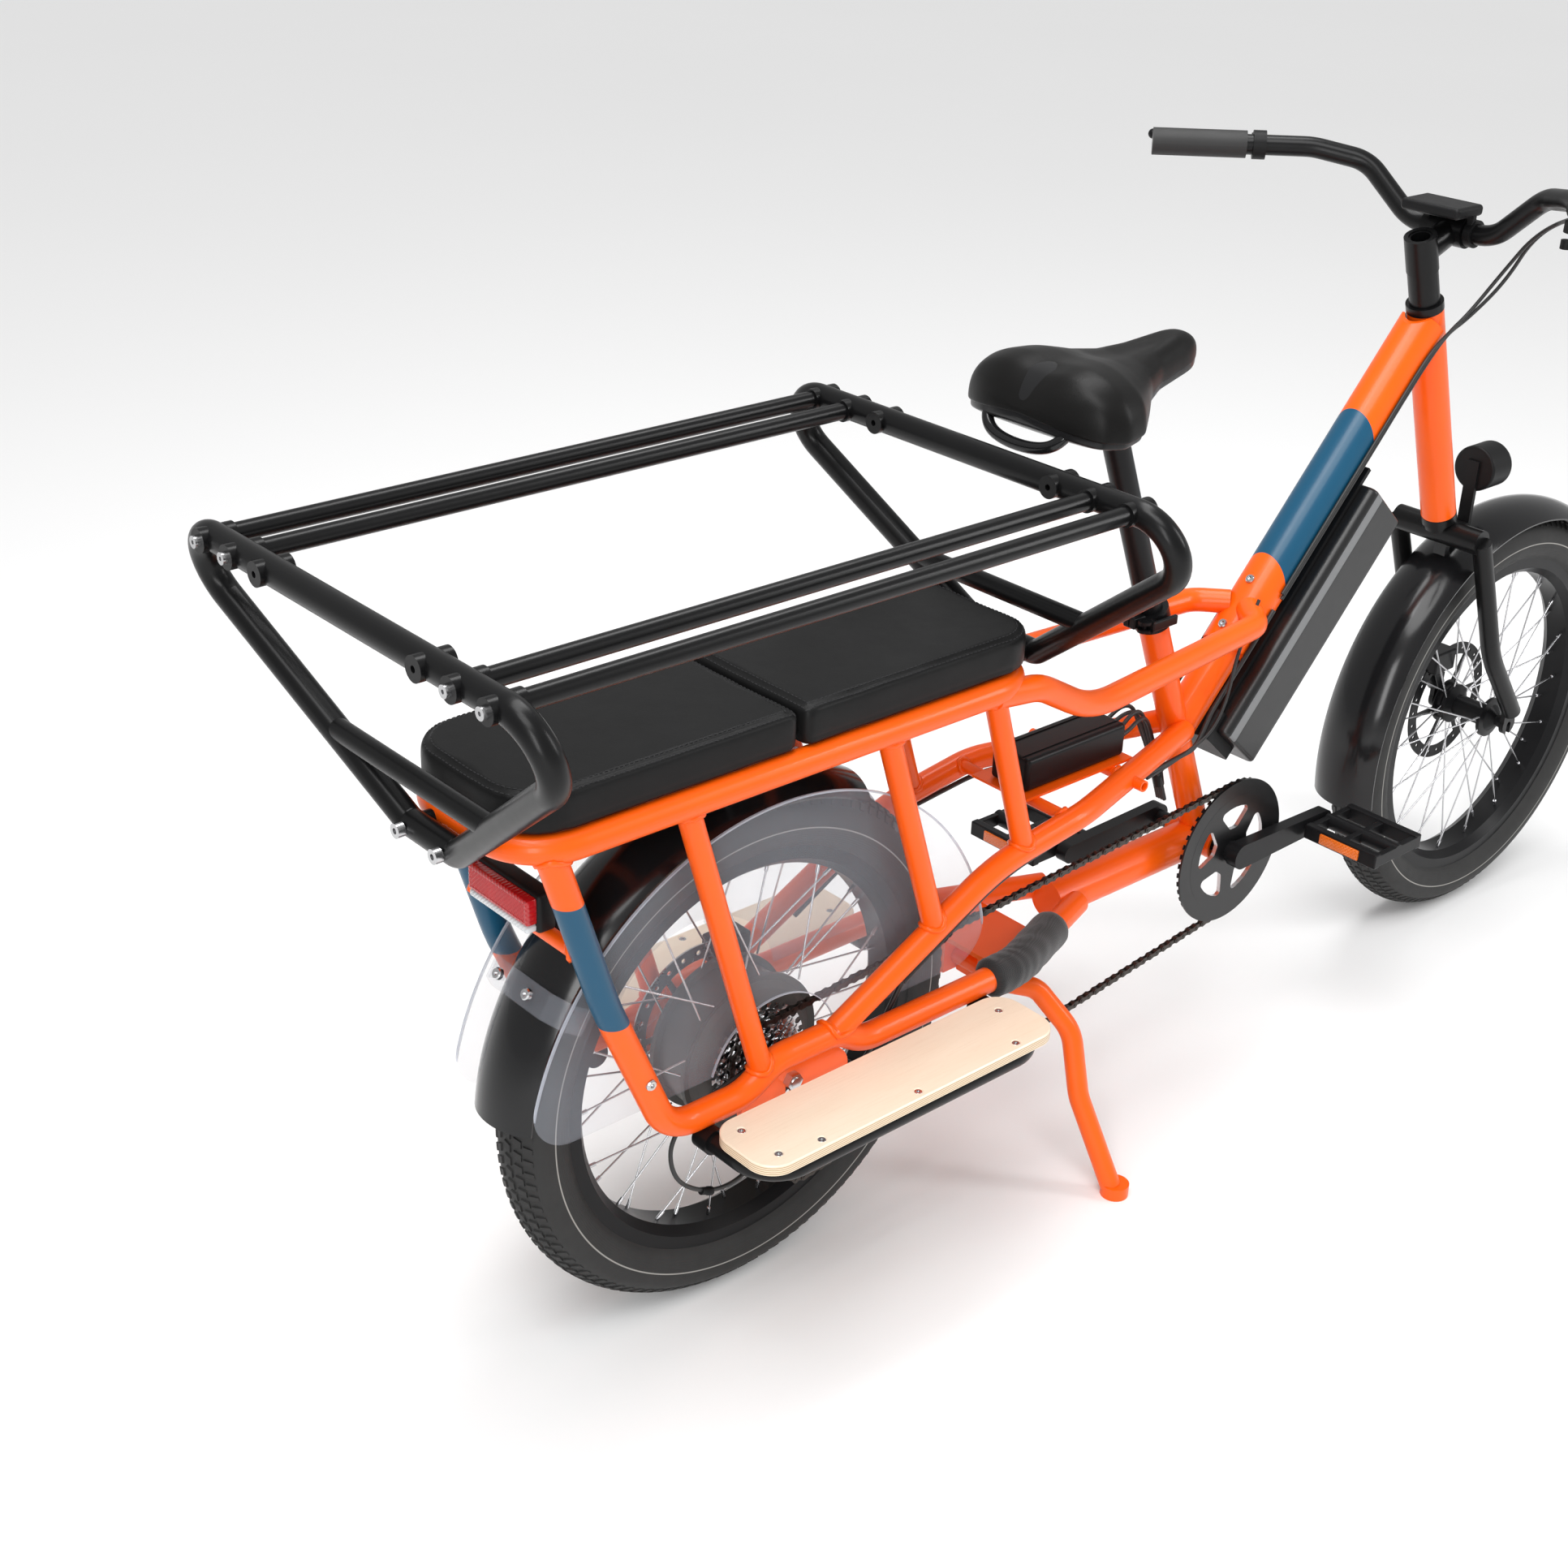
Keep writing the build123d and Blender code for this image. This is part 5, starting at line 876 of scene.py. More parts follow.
def make_pad(name, low_x, high_x, low_r, high_r):
    half_w = (PAD_HIGH.y - PAD_LOW.y) / 2
    mesh = bmesh.new()
    plan = plan_loop(low_x, high_x, half_w, low_r, high_r, SWELL * 0.7, 0.006)
    top_z, bottom_z = PAD_HIGH.z - SWELL * 0.8, PAD_LOW.z + 0.0006
    rings = []
    for z, inset in ((bottom_z, 0.0015), (bottom_z + 0.003, 0.0), (top_z - 0.005, 0.0), (top_z - 0.0015,
        0.0015), (top_z, 0.005)):
        ring = plan if not inset else plan_loop(low_x, high_x, half_w, low_r, high_r, SWELL * 0.7 + inset,
                                                0.006)
        while len(ring) > len(plan):
            ring = ring[:-1]
        while len(ring) < len(plan):
            ring = ring + [ring[-1]]
        rings.append([mesh.verts.new((x, y, z)) for x, y in ring])
    skin(mesh, rings)
    mesh.faces.new(rings[-1])
    mesh.faces.new(list(reversed(rings[0])))
    data = bpy.data.meshes.new(name)
    mesh.to_mesh(data)
    mesh.free()
    piece = bpy.data.objects.new(name, data)
    bpy.context.scene.collection.objects.link(piece)
    remesh = piece.modifiers.new("voxels", "REMESH")
    remesh.mode = "VOXEL"
    remesh.voxel_size = 0.005
    apply_all(piece)
    inflate(piece, 4.0, 20, 0.0020)
    coords = coords_of(piece)
    x, y, z = coords.T
    inside = np.clip(plan_distance(x, y, low_x, high_x, half_w, low_r, high_r), 0, None)
    share = np.clip(inside / 0.05, 0, 1)
    upper = np.clip((z - (PAD_HIGH.z - 0.016)) / 0.012, 0, 1)
    z = z + upper * 0.0022 * np.sin(share * math.pi / 2)
    coords = np.stack([x, y, z], 1)
    set_coords(piece, coords)
    smooth = piece.modifiers.new("relax", "SMOOTH")
    smooth.factor, smooth.iterations = 0.5, 4
    subdivide = piece.modifiers.new("finer", "SUBSURF")
    subdivide.levels = subdivide.render_levels = 1
    apply_all(piece)
    x, y, z = coords_of(piece).T
    inside = plan_distance(x, y, low_x, high_x, half_w, low_r, high_r)
    upper = np.clip((z - (PAD_HIGH.z - 0.014)) / 0.006, 0, 1)
    z = z - upper * 0.0016 * np.exp(-(((inside - 0.0105) / 0.0022) ** 2))
    rough = np.sin(x * 61 + np.sin(y * 43) * 1.7) * np.sin(y * 71 + x * 17) * 0.00045
    z = z + upper * rough * np.clip(inside / 0.03, 0, 1)
    side_band = np.clip(1 - np.abs(inside) / 0.006, 0, 1)
    groove = 0.0012 * np.exp(-(((z - (PAD_LOW.z + 0.010)) / 0.0016) ** 2)) * side_band
    middle_x = (low_x + high_x) / 2
    x = x - np.sign(x - middle_x) * groove * (np.abs(x - middle_x) > (high_x - low_x) / 2 - 0.012)
    y = y - np.sign(y) * groove * (np.abs(y) > half_w - 0.012)
    x, y = np.clip(x, low_x, high_x), np.clip(y, PAD_LOW.y, PAD_HIGH.y)
    z = np.clip(z, PAD_LOW.z + 0.0002, PAD_HIGH.z)
    set_coords(piece, np.stack([x, y, z], 1))
    piece.data.materials.append(pad_vinyl)
    seat_piece(piece, "frame", 70.0, ("deck_pads",))
    tree = BVHTree.FromPolygons([v.co.copy() for v in piece.data.vertices],
                                [list(p.vertices) for p in piece.data.polygons])
    for number, inset in enumerate((0.0072, 0.0138)):
        loop = plan_loop(low_x, high_x, half_w, low_r, high_r, inset, 0.0058)
        stitch_row(f"{name}_stitches_{number}", loop, tree, PAD_HIGH.z + 0.02, "frame", thread_black)
    return piece


make_pad("rear_deck_pad", PAD_LOW.x, PAD_SPLIT - 0.0005, 0.062, 0.010)
make_pad("front_deck_pad", PAD_SPLIT + 0.0005, PAD_HIGH.x, 0.010, 0.055)

# ---------------------------------------------------------------- saddle
SADDLE_STATIONS = np.array(((370, 66, 966, 938), (382, 92, 980, 931), (398, 107, 989, 926), (425, 113.5, 992,
    924),
                            (455, 108, 990, 927), (490, 82, 982, 934), (525, 54, 979, 941), (560, 38, 982,
                                948),
                            (600, 30, 987, 953), (630, 26, 990.5, 957), (652, 21, 988, 963)))


def saddle_form(name, grow, drop, material, bottom):
    """A saddle body: a sphere whose rings are drawn out along the bicycle."""
    bpy.ops.mesh.primitive_uv_sphere_add(segments=72, ring_count=96, radius=1.0)
    piece = name_last(name, material)
    coords = coords_of(piece)
    along = -coords[:, 2]
    ring = np.arctan2(coords[:, 1], coords[:, 0])
    station = np.sign(along) * np.abs(along) ** 1.0
    low_x, high_x = SADDLE_STATIONS[0, 0], SADDLE_STATIONS[-1, 0]
    t = (np.arcsin(np.clip(station, -1, 1)) / math.pi + 0.5)
    x = low_x + (high_x - low_x) * t
    width = np.interp(x, SADDLE_STATIONS[:, 0], SADDLE_STATIONS[:, 1]) * grow
    top_z = np.interp(x, SADDLE_STATIONS[:, 0], SADDLE_STATIONS[:, 2])
    edge_z = np.interp(x, SADDLE_STATIONS[:, 0], SADDLE_STATIONS[:, 3])
    blunt = np.sqrt(np.clip(1 - np.abs(2 * t - 1) ** 9, 0, 1))
    c, s = np.cos(ring), np.sin(ring)
    y = width * blunt * np.sign(c) * np.abs(c) ** 0.82
    rise = (top_z - edge_z) * blunt
    z = np.where(s > 0, edge_z + rise * np.abs(s) ** 0.75, edge_z - bottom * blunt * np.abs(s) ** 0.6)
    upper = np.clip(s, 0, 1)
    channel = np.exp(-((y / 13.0) ** 2)) * np.clip((x - 380) / 25, 0, 1) * np.clip((612 - x) / 40, 0, 1)
    valley = np.exp(-((y / 30.0) ** 2)) * np.clip((470 - x) / 60, 0, 1)
    z = z - upper * (5.0 * channel + 8.0 * valley) * (1 if grow >= 1 else 0)
    waist = np.exp(-(((x - 486) / 26.0) ** 2)) * np.clip(-s, 0, 1)
    z = z + 4.0 * waist
    z = z - drop
    place = np.stack([(x - MIDDLE_X) * MM, y * MM, z * MM], 1)
    set_coords(piece, place)
    deselect()
    piece.select_set(True)
    bpy.context.view_layer.objects.active = piece
    bpy.ops.object.mode_set(mode="EDIT")
    bpy.ops.mesh.select_all(action="SELECT")
    bpy.ops.mesh.remove_doubles(threshold=0.00001)
    bpy.ops.mesh.normals_make_consistent(inside=False)
    bpy.ops.object.mode_set(mode="OBJECT")
    smooth = piece.modifiers.new("relax", "SMOOTH")
    smooth.factor, smooth.iterations = 0.5, 10
    subdivide = piece.modifiers.new("finer", "SUBSURF")
    subdivide.levels = subdivide.render_levels = 1
    apply_all(piece)
    return seat_piece(piece, "seat", 0)


saddle_cover = saddle_form("saddle_cover", 1.0, 0.0, saddle_vinyl, 5.0)
for polygon in saddle_cover.data.polygons:
    polygon.use_smooth = True
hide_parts("saddle")
saddle_shell = saddle_form("saddle_shell", 0.955, 7.0, base_plastic, 6.0)
for polygon in saddle_shell.data.polygons:
    polygon.use_smooth = True


def round_tube(name, points, radius, body, material, sides=12, order=3, smooth=60.0, samples=12):
    """A tube along a smooth curve through the neighbourhood of the given points."""
    curve = bpy.data.curves.new(name, "CURVE")
    curve.dimensions = "3D"
    spline = curve.splines.new("NURBS")
    spline.points.add(len(points) - 1)
    for number, point in enumerate(points):
        spline.points[number].co = (*point, 1.0)
    spline.order_u = order
    spline.use_endpoint_u = True
    curve.resolution_u = samples
    curve.bevel_depth = radius
    curve.bevel_resolution = max(1, sides // 4)
    curve.use_fill_caps = True
    piece = bpy.data.objects.new(name, curve)
    bpy.context.scene.collection.objects.link(piece)
    deselect()
    piece.select_set(True)
    bpy.context.view_layer.objects.active = piece
    bpy.ops.object.convert(target="MESH")
    piece = bpy.context.active_object
    piece.data.materials.clear()
    piece.data.materials.append(material)
    return seat_piece(piece, body, smooth)


for side in SIDES:
    round_tube(f"saddle_rail_{'left' if side > 0 else 'right'}",
               [at(408, side * 36, 942), at(424, side * 30, 934), at(450, side * 23.5, 932),
                at(505, side * 22, 932),
                at(560, side * 21, 932.5), at(590, side * 16, 942), at(606, side * 11, 955)],
               0.0035, "seat", black_anodised)
    bpy.ops.mesh.primitive_torus_add(major_radius=0.010, minor_radius=0.0022, major_segments=24,
                                     minor_segments=8,
                                     location=at(402, side * 52, 933), rotation=(0, math.pi / 2, 0))
    spring = name_last(f"saddle_bumper_{'left' if side > 0 else 'right'}", base_plastic)
    seat_piece(spring, "seat")
round_tube("saddle_lift_handle",
           [at(396, 60, 934), at(386, 57, 922), at(378, 44, 909), at(374, 18, 903), at(374, -18, 903),
            at(378, -44, 909),
            at(386, -57, 922), at(396, -60, 934)],
           0.0068, "seat", gloss_moulded, sides=16)

# ---------------------------------------------------------------- tyres
def make_tyre(name, axle_x, body, node, material):
    """A carcass with rows of staggered tread blocks."""
    mesh = bmesh.new()
    section_r, ring_r, tread_h = 38.0, 264.0, 1.8
    profile = []
    for number in range(33):
        angle = math.radians(-126 + 252 * number / 32)
        crown = section_r - tread_h * max(0.0, min(1.0, (58 - abs(math.degrees(angle))) / 8))
        profile.append((ring_r + crown * math.cos(angle), crown * math.sin(angle)))
    profile += [(236.5, 24.0), (233.6, 22.0)]
    for number in range(21):
        angle = math.radians(118 - 236 * number / 20)
        profile.append((ring_r + 33.2 * math.cos(angle), 33.2 * math.sin(angle) * 0.9))
    profile += [(233.6, -22.0), (236.5, -24.0)]
    turns = 144
    rings = []
    for number in range(turns):
        angle = 2 * math.pi * number / turns
        rings.append([mesh.verts.new(at(axle_x + r * math.cos(angle), y, 302 + r * math.sin(angle))) for r,
                      y in profile])
    for number in range(turns):
        a, b = rings[number], rings[(number + 1) % turns]
        for k in range(len(profile)):
            mesh.faces.new((a[k], a[(k + 1) % len(profile)], b[(k + 1) % len(profile)], b[k]))
    rows = ((-46, 7.0, 7.5, 0), (-29, 9.5, 6.5, 1), (-10.5, 10.5, 5.6, 0), (10.5, 10.5, 5.6, 1),
            (29, 9.5, 6.5, 0), (46, 7.0, 7.5, 1))
    blocks = 116
    for degrees, length, width, offset in rows:
        for number in range(blocks):
            middle = 2 * math.pi * (number + 0.5 * offset) / blocks
            half_turn = length / 2 / 300
            half_arc = width / section_r / 2 * 1.5
            slant = math.copysign(0.006, degrees)
            corners = []
            for height, shrink in ((-1.0, 1.0), (tread_h, 0.84)):
                for sign_a, sign_b in ((-1, -1), (1, -1), (1, 1), (-1, 1)):
                    arc = math.radians(degrees) + sign_a * half_arc * shrink
                    reach = section_r - tread_h + height
                    r = ring_r + reach * math.cos(arc)
                    spin = middle + sign_b * half_turn * shrink + slant * sign_a
                    corners.append(mesh.verts.new(at(axle_x + r * math.cos(spin), reach * math.sin(arc),
                                                     302 + r * math.sin(spin))))
            for face in ((4, 5, 6, 7), (0, 1, 5, 4), (1, 2, 6, 5), (2, 3, 7, 6), (3, 0, 4, 7), (3, 2, 1, 0)):
                mesh.faces.new([corners[k] for k in face])
    piece = finished(mesh, name, material)
    return seat_piece(piece, body, 40.0, (node,))


make_tyre("rear_tyre_tread", 0.0, "rear_wheel", "rear_tyre", rear_tyre_rubber)
make_tyre("front_tyre_tread", 1403.0, "front_wheel", "front_tyre", front_tyre_rubber)

# ---------------------------------------------------------------- wrap on the right rail
def make_wrap():
    """A stretch wrap round the rail: lumpy, with a raised overlapping edge and pursed ends."""
    steps, turns = 60, 56
    guide = bpy.data.curves.new("wrap_path", "CURVE")
    guide.dimensions = "3D"
    spline = guide.splines.new("NURBS")
    route = (at(301, -90, 307), at(330, -90, 307), at(352, -88.5, 306.8), at(400, -71, 305.6), at(455, -51.4,
        304.2))
    spline.points.add(len(route) - 1)
    for number, point in enumerate(route):
        spline.points[number].co = (*point, 1.0)
    spline.order_u = 3
    spline.use_endpoint_u = True
    guide.resolution_u = 20
    path_piece = bpy.data.objects.new("wrap_path", guide)
    path_mesh = bpy.data.meshes.new_from_object(path_piece)
    path = [vertex.co.copy() for vertex in path_mesh.vertices]
    bpy.data.objects.remove(path_piece)
    mesh = bmesh.new()
    random.seed(5)
    lumps = [(random.uniform(0, 1), random.uniform(0, 6.28), random.uniform(0.05, 0.12), random.uniform(0.4,
        1.0)) for _ in range(14)]
    rings = []
    for step in range(steps + 1):
        share = step / steps
        place = share * (len(path) - 1)
        low = min(int(place), len(path) - 2)
        centre = path[low].lerp(path[low + 1], place - low)
        u, v = tube_frame(path[low + 1] - path[low])
        ring = []
        for number in range(turns):
            angle = 2 * math.pi * number / turns
            end = min(share, 1 - share)
            radius = 22.6 - 6.8 * max(0.0, 1 - end / 0.045) ** 2.2
            radius += 0.25 * math.sin(share * 40 + 2 * math.sin(angle * 2))
            for toward_end, toward, size, depth in lumps:
                apart = math.atan2(math.sin(angle - toward), math.cos(angle - toward))
                radius += depth * math.exp(-((share - toward_end) / size) ** 2 - (apart / 0.7) ** 2)
            flap = (angle - 2.2) % (2 * math.pi)
            radius += 1.4 * (1 if flap < 1.6 else math.exp(-((flap - 1.6) / 0.9) ** 2))
            ring.append(mesh.verts.new(centre + (u * math.cos(angle) + v * math.sin(angle)) * radius * MM))
        rings.append(ring)
    skin(mesh, rings)
    for ring, place in ((rings[0], path[0]), (rings[-1], path[-1])):
        middle = mesh.verts.new(place)
        for k in range(turns):
            mesh.faces.new((ring[k], ring[(k + 1) % turns], middle))
    piece = finished(mesh, "rail_wrap", neoprene)
    return seat_piece(piece, "frame", 50.0, ("kickstand_sleeve",))


make_wrap()

# ---------------------------------------------------------------- screws, reflectors and small trim
def screw(name, place, way, head_r, head_h, socket_r, body, material, dome=True):
    """A socket-head screw: a bevelled head with a round recess, turned to point along way."""
    bpy.ops.mesh.primitive_cylinder_add(vertices=24, radius=head_r, depth=head_h, location=(0, 0, head_h / 2))
    piece = name_last(name, material)
    bpy.ops.object.mode_set(mode="EDIT")
    mesh = bmesh.from_edit_mesh(piece.data)
    for face in mesh.faces:
        face.select_set(face.normal.z > 0.9)
    bmesh.update_edit_mesh(piece.data)
    bpy.ops.mesh.inset(thickness=head_r * 0.18, depth=head_h * (0.35 if dome else 0.08))
    bpy.ops.mesh.inset(thickness=head_r * 0.82 - socket_r)
    bpy.ops.mesh.extrude_region_move(TRANSFORM_OT_translate={"value": (0, 0, -head_h * 0.7)})
    bpy.ops.object.mode_set(mode="OBJECT")
    piece.rotation_mode = "QUATERNION"
    piece.rotation_quaternion = Vector((0, 0, 1)).rotation_difference(Vector(way).normalized())
    piece.location = place
    return seat_piece(piece, body, 35.0)


BOARD_SCREWS = ((-98, 188), (-48, 197), (88, 197), (236, 197), (268, 140), (-102, 135))
for side in SIDES:
    for number, (x, y) in enumerate(BOARD_SCREWS):
        hand = "left" if side > 0 else "right"
        screw(f"board_screw_{hand}_{number}", at(x, side * y, 302.4), (0, 0, 1), 0.0050, 0.0022, 0.0021,
              "frame", bright_steel)
for side in SIDES:
    hand = "left" if side > 0 else "right"
    pedal = f"{hand}_pedal"
    low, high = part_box(pedal)
    for end, x in (("front", high.x), ("rear", low.x)):
        bpy.ops.mesh.primitive_cube_add(size=1.0, location=(x, (low.y + high.y) / 2, (low.z + high.z) / 2))
        reflector = name_last(f"{hand}_pedal_reflector_{end}", amber_lens)
        reflector.scale = (0.005, 0.060, 0.014)
        bpy.ops.object.transform_apply(location=False, rotation=False, scale=True)
        bpy.ops.object.mode_set(mode="EDIT")
        bpy.ops.mesh.select_all(action="SELECT")
        bpy.ops.mesh.bevel(offset=0.0012, segments=2, affect="EDGES")
        bpy.ops.object.mode_set(mode="OBJECT")
        seat_piece(reflector, f"pedal_{hand}")
away = Vector((-math.sin(MAIN_ANGLE), 0, math.cos(MAIN_ANGLE)))
for number, run in enumerate((-0.0171, -0.0823)):
    screw(f"main_tube_bolt_{number}", MAIN_REF + main_way * run + away * 0.0298, away, 0.0058, 0.004, 0.0024,
          "frame", bright_steel)

def rounded_block(name, low, high, radius, material):
    """A block between two corners with every edge rounded."""
    bpy.ops.mesh.primitive_cube_add(size=1.0, location=(low + high) / 2)
    block = name_last(name, material)
    block.scale = high - low
    bpy.ops.object.transform_apply(location=True, rotation=False, scale=True)
    bpy.ops.object.mode_set(mode="EDIT")
    bpy.ops.mesh.select_all(action="SELECT")
    bpy.ops.mesh.bevel(offset=radius, segments=4, affect="EDGES")
    bpy.ops.object.mode_set(mode="OBJECT")
    return block


def recess(block, ahead, rim, depth):
    """Sinks the face that looks along ahead, leaving a rim round it."""
    bpy.ops.object.mode_set(mode="EDIT")
    mesh = bmesh.from_edit_mesh(block.data)
    widest = max((face for face in mesh.faces if face.normal.dot(ahead) > 0.95),
                 key=lambda face: face.calc_area())
    for face in mesh.faces:
        face.select_set(face is widest)
    bmesh.update_edit_mesh(block.data)
    bpy.ops.mesh.inset(thickness=rim, depth=0.0)
    bpy.ops.mesh.inset(thickness=0.0008, depth=-depth)
    bpy.ops.object.mode_set(mode="OBJECT")


LAMP_X, LAMP_Z = -281.0, 583.0
BACKWARDS = Vector((-1, 0, 0))
housing = rounded_block("taillight_housing", at(LAMP_X - 8, -52, LAMP_Z - 20), at(LAMP_X + 14, 52,
    LAMP_Z + 22), 0.005, black_moulded)
recess(housing, BACKWARDS, 0.0015, 0.001)
seat_piece(housing, "frame", 35.0, ("taillight",))
seat_piece(rounded_block("taillight_foot", at(LAMP_X + 6, -10, 560.4), at(LAMP_X + 18, 10, LAMP_Z - 16),
                         0.001, black_moulded),
           "frame")
red_face = rounded_block("taillight_lens", at(LAMP_X - 19.2, -49, LAMP_Z - 9), at(LAMP_X - 6, 49,
    LAMP_Z + 19), 0.003, red_lens)
recess(red_face, BACKWARDS, 0.0012, 0.0008)
seat_piece(red_face, "frame")
mesh = bmesh.new()
for number in range(37):
    y = (number - 18) * 2.4
    corners = []
    for z in (LAMP_Z - 4.4, LAMP_Z + 14.4):
        corners.append([mesh.verts.new(at(x, side_y, z)) for x, side_y in
                        ((LAMP_X - 18.0, y - 1.15), (LAMP_X - 19.3, y), (LAMP_X - 18.0, y + 1.15))])
    mesh.faces.new(corners[0])
    mesh.faces.new(list(reversed(corners[1])))
    for k in range(3):
        mesh.faces.new((corners[0][k], corners[1][k], corners[1][(k + 1) % 3], corners[0][(k + 1) % 3]))
seat_piece(finished(mesh, "taillight_ribs", red_lens), "frame", 0)
seat_piece(rounded_block("taillight_lower_strip", at(LAMP_X - 18.6, -48, LAMP_Z - 17), at(LAMP_X - 6, 48,
    LAMP_Z - 9.4), 0.0025, clear_lens),
           "frame")
for side in SIDES:
    hand = "left" if side > 0 else "right"
    screw(f"strap_bolt_{hand}", at(-285, side * 24, 483.5), Vector((-0.85, 0, 0.53)), 0.0062, 0.004, 0.0026,
          "frame", bright_steel)
    screw(f"stay_bolt_{hand}", at(-196, side * (90 + 14.6), 384), (0, side, 0), 0.0060, 0.004, 0.0025,
          "frame", bright_steel)

# ---------------------------------------------------------------- cables and their fittings
def cable(name, points, radius=0.0025, body="frame", material=None, sides=12):
    return round_tube(name, points, radius, body, material or cable_rubber, sides, 3, 60.0, 10)


BARREL_SIDES = 24


def barrel(name, start, end, rings, body="frame", material=None):
    """A turned shape along a line: rings are (share of the length, radius in mm)."""
    way = (end - start).normalized()
    u, v = tube_frame(way)
    mesh = bmesh.new()
    loops = []
    for share, radius in rings:
        centre = start.lerp(end, share)
        loops.append(ring_round(mesh, centre, u, v, radius * MM, BARREL_SIDES))
    skin(mesh, loops)
    mesh.faces.new(list(reversed(loops[0])))
    mesh.faces.new(loops[-1])
    piece = finished(mesh, name, material or black_moulded)
    return seat_piece(piece, body, 40.0)


lamp_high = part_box("headlight")[1]
LAMP_FRONT = Vector((lamp_high.x, 0, lamp_high.z - 0.031))
barrel("headlight_lens", LAMP_FRONT - Vector((0.005, 0, 0)), LAMP_FRONT + Vector((0.003, 0, 0)),
       ((0.0, 20.0), (0.0, 27.0), (0.45, 27.0), (0.5, 25.4), (0.62, 24.6), (0.80, 20.0), (0.92, 13.0),
        (1.0, 5.0)), "steering",
       clear_lens)

CONNECTOR = ((0.0, 3.0), (0.0, 5.4), (0.16, 6.2), (0.17, 7.6), (0.30, 8.2), (0.31, 9.4), (0.36, 9.4),
             (0.37, 8.6), (0.40, 8.6),
             (0.41, 9.4), (0.47, 9.4), (0.48, 8.4), (0.70, 8.2), (0.71, 7.2), (0.86, 6.4), (0.87, 5.2),
             (1.0, 4.4), (1.0, 2.6))
barrel("motor_connector", at(264, -75, 400), at(196, -75, 362), CONNECTOR)
cable("motor_cable_front", [at(264, -75, 400), at(290, -74.5, 415), at(330, -72, 430), at(400, -66, 446),
                            at(480, -56, 452),
                            at(600, -30, 452), at(668, -14, 440), at(676, -10, 410)], 0.0030)
cable("motor_cable_rear", [at(196, -75, 362), at(184, -75, 355), at(172, -73, 330), at(158, -70, 300),
                           at(146, -68, 272),
                           at(120, -67, 240), at(84, -67, 236), at(48, -67, 262), at(20, -67, 290),
                           at(6, -66, 300)], 0.0030)
cable("shift_cable_loop", [at(-20, -73, 322), at(-70, -76, 318), at(-118, -76, 306), at(-144, -74, 276),
                           at(-144, -72, 246),
                           at(-132, -71, 216), at(-106, -70, 193), at(-78, -70, 180), at(-48, -69, 178),
                           at(-18, -66, 190),
                           at(4, -62, 210)], 0.0025)
barrel("shift_cable_ferrule", at(-100, -70, 189), at(-84, -70, 182), ((0.0, 2.6), (0.0, 4.2), (0.5, 4.4),
    (0.55, 5.0), (0.9, 5.0), (1.0, 3.0)))
cable("brake_cable_drop", [at(800, -33, 632), at(776, -36, 596), at(758, -40, 556), at(750, -41, 512),
                           at(728, -40, 474),
                           at(684, -38, 459), at(640, -44, 456), at(600, -50, 456)], 0.0022)
for number, (y, lift) in enumerate(((-20, 0), (-8, 6), (6, 2), (16, 8))):
    cable(f"controller_lead_{number}", [at(570, y, 505), at(592, y, 509), at(612, y * 0.8, 516 + lift),
                                        at(632, y * 0.6, 514 + lift),
                                        at(648, y * 0.5, 490), at(662, -6 + y * 0.3, 450),
                                        at(674, -8 + y * 0.3, 415),
                                        at(686, -8 + y * 0.3, 386)], 0.0026)
barrel("lead_connector", at(662, -9, 452), at(678, -9, 408), ((0.0, 3.0), (0.0, 7.0), (0.3, 7.6), (0.32, 9.0),
    (0.5, 9.0), (0.52, 7.4), (1.0, 6.6), (1.0, 3.0)))

for number, (side, y, reach, lower) in enumerate(((1, 244, 0, 0), (-1, 244, 8, 3.5), (-1, 216, 20, -3.5))):
    start = at(1066 if number < 2 else 1052, side * y, 1100 if number < 2 else 1078)
    route = [start, start + Vector((0.030, -side * 0.014, 0.003)), at(1140 + reach, side * (y - 70),
        1094 - reach),
             at(1178 + reach, side * (100 - reach), 1052 - reach), at(1178 + reach, side * 52, 990 - reach),
             at(1150, side * 38, 938 - reach / 2), at(1118, side * 34, 914), at(1084, side * 33.4,
                 888 - lower),
             at(1040, side * 33.2, 840 - lower), at(1000, side * 33.2, 795 - lower), at(930, side * 33.2,
                 718 - lower),
             at(846, side * 33.2, 625 - lower)]
    cable(f"bar_cable_{number}", route, 0.0024, ("frame", "steering", at(1118, 0, 914), at(1150, 0, 1010)))

# ---------------------------------------------------------------- floor, light and camera
bpy.ops.mesh.primitive_plane_add(size=120.0, location=(0, 0, 0))
floor = bpy.context.active_object
floor.name = "studio_floor"
floor_finish = Finish("studio_floor")
floor_finish.set(base_color=floor_finish.mix(floor_finish.noise(0.6), (0.86, 0.86, 0.86), (0.88, 0.88, 0.88)),
                 roughness=0.75)
floor.data.materials.append(floor_finish.material)

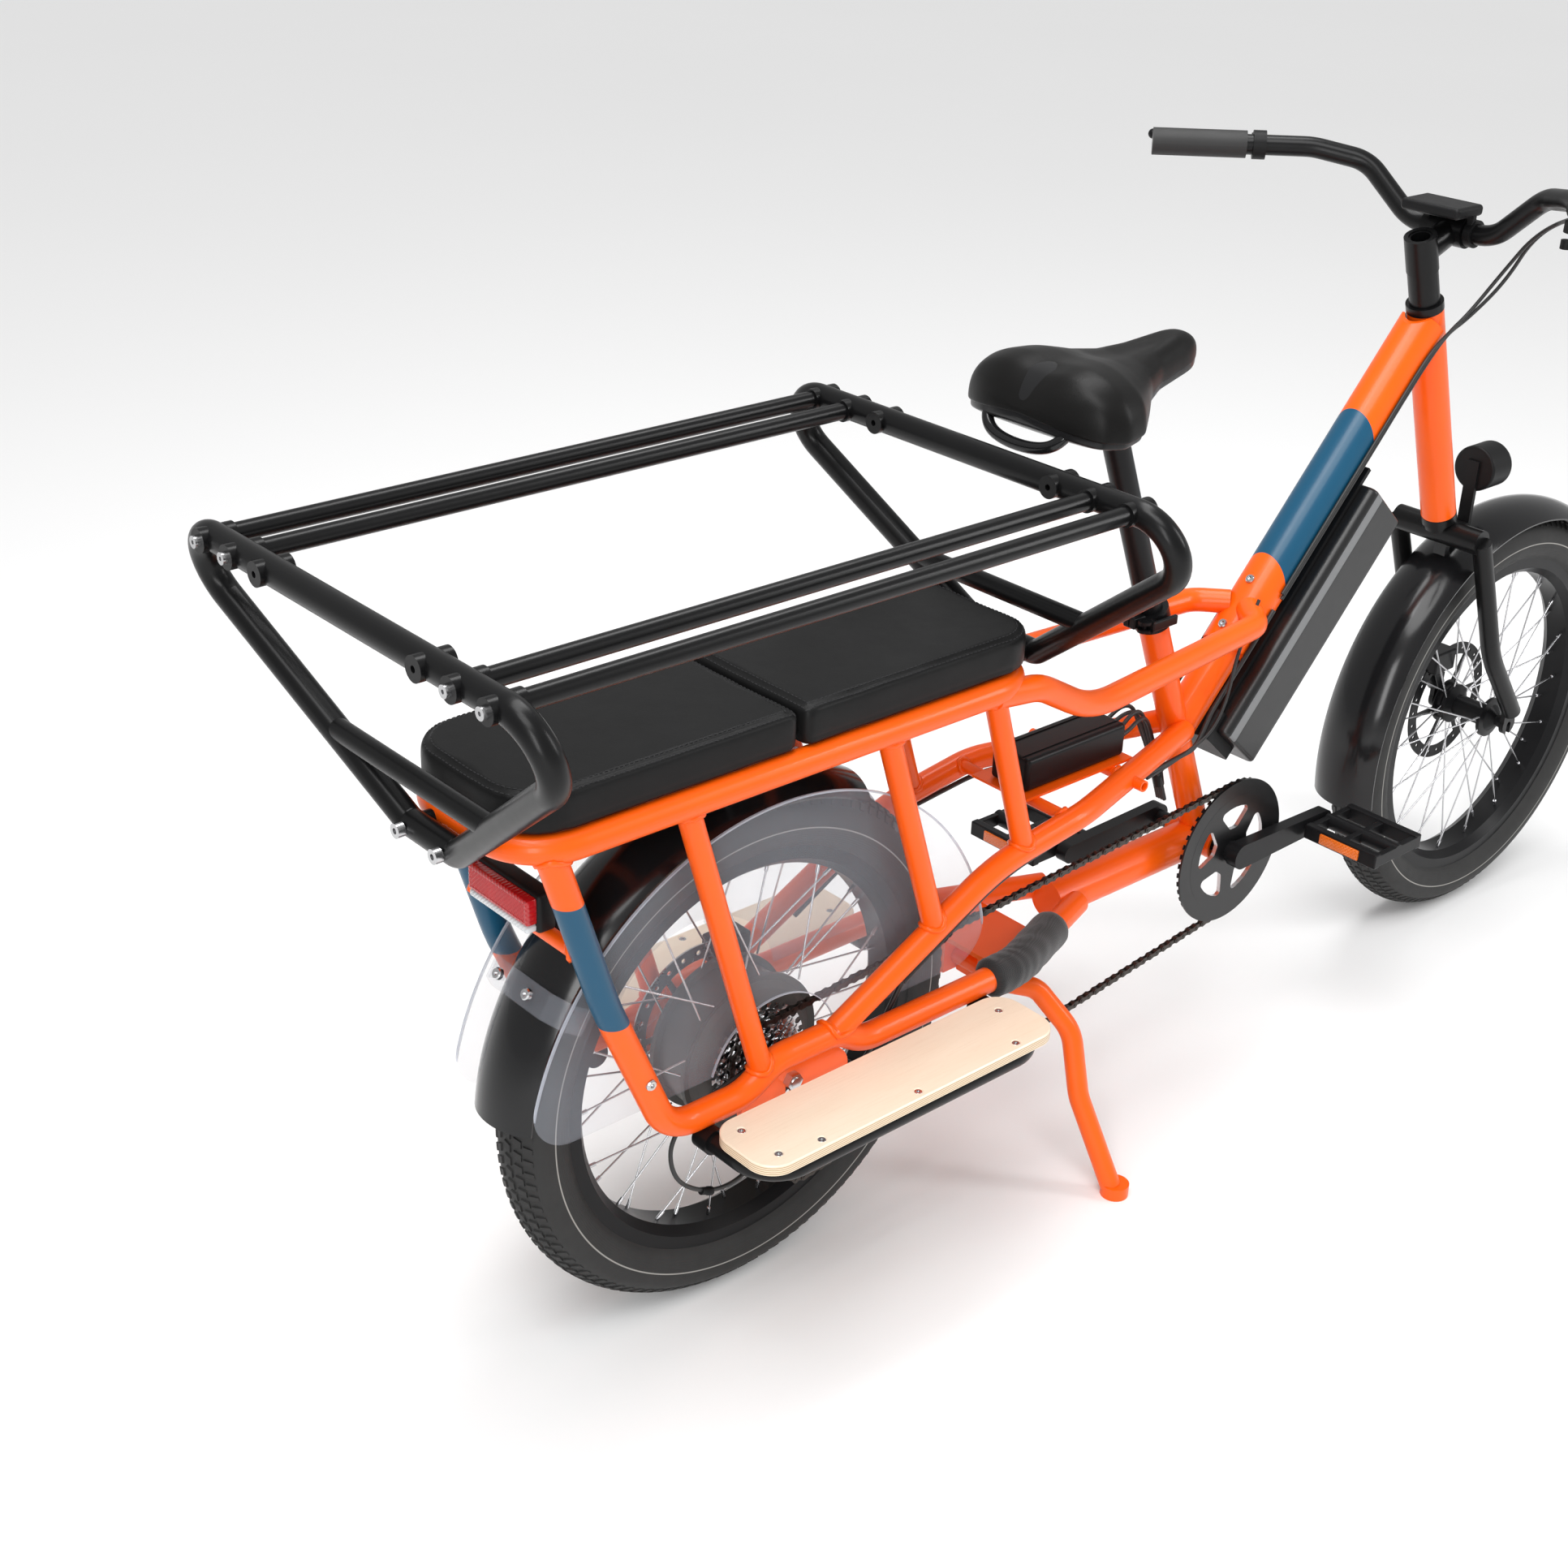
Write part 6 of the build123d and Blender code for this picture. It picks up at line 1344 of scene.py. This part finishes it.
world = bpy.data.worlds.new("studio")
bpy.context.scene.world = world
world.use_nodes = True
world.node_tree.nodes["Background"].inputs[0].default_value = (1.0, 1.0, 1.0, 1.0)
world.node_tree.nodes["Background"].inputs[1].default_value = 0.50


def softbox(name, place, aim, size, power):
    light = bpy.data.lights.new(name, "AREA")
    light.shape = "RECTANGLE"
    light.size, light.size_y = size
    light.energy = power
    lamp = bpy.data.objects.new(name, light)
    bpy.context.scene.collection.objects.link(lamp)
    lamp.location = place
    lamp.rotation_mode = "QUATERNION"
    lamp.rotation_quaternion = (Vector(aim) - Vector(place)).to_track_quat("-Z", "Y")


softbox("overhead_softbox", (-0.2, 0.3, 3.2), (-0.1, 0, 0.5), (3.4, 0.8), 60)
softbox("side_softbox", (-3.0, -2.2, 1.7), (-0.3, 0, 0.5), (0.7, 2.2), 42)
softbox("front_softbox", (2.4, -2.6, 2.4), (0.2, 0, 0.5), (0.7, 2.0), 42)
sun_light = bpy.data.lights.new("broad_light", "SUN")
sun_light.energy = 1.35
sun_light.angle = math.radians(32)
sun = bpy.data.objects.new("broad_light", sun_light)
bpy.context.scene.collection.objects.link(sun)
sun.rotation_euler = (math.radians(18), math.radians(-24), 0)

CAMERA_AZ, CAMERA_EL, CAMERA_ROLL = (math.radians(v) for v in (-42.04, 26.85, 2.11))
ahead = Vector((-math.sin(CAMERA_AZ) * math.cos(CAMERA_EL), math.cos(CAMERA_AZ) * math.cos(CAMERA_EL),
                -math.sin(CAMERA_EL)))
level = Vector((math.cos(CAMERA_AZ), math.sin(CAMERA_AZ), 0))
upright = level.cross(ahead)
right = level * math.cos(CAMERA_ROLL) + upright * math.sin(CAMERA_ROLL)
top = upright * math.cos(CAMERA_ROLL) - level * math.sin(CAMERA_ROLL)
camera_data = bpy.data.cameras.new("view")
camera_data.sensor_width = 36.0
camera_data.lens = 51.33
camera = bpy.data.objects.new("view", camera_data)
bpy.context.scene.collection.objects.link(camera)
turn = Matrix((right, top, -ahead)).transposed().to_4x4()
camera.matrix_world = Matrix.Translation(at(-1329.33, -1541.2, 1645.12)) @ turn
bpy.context.scene.camera = camera
bpy.context.scene.view_settings.view_transform = "Standard"
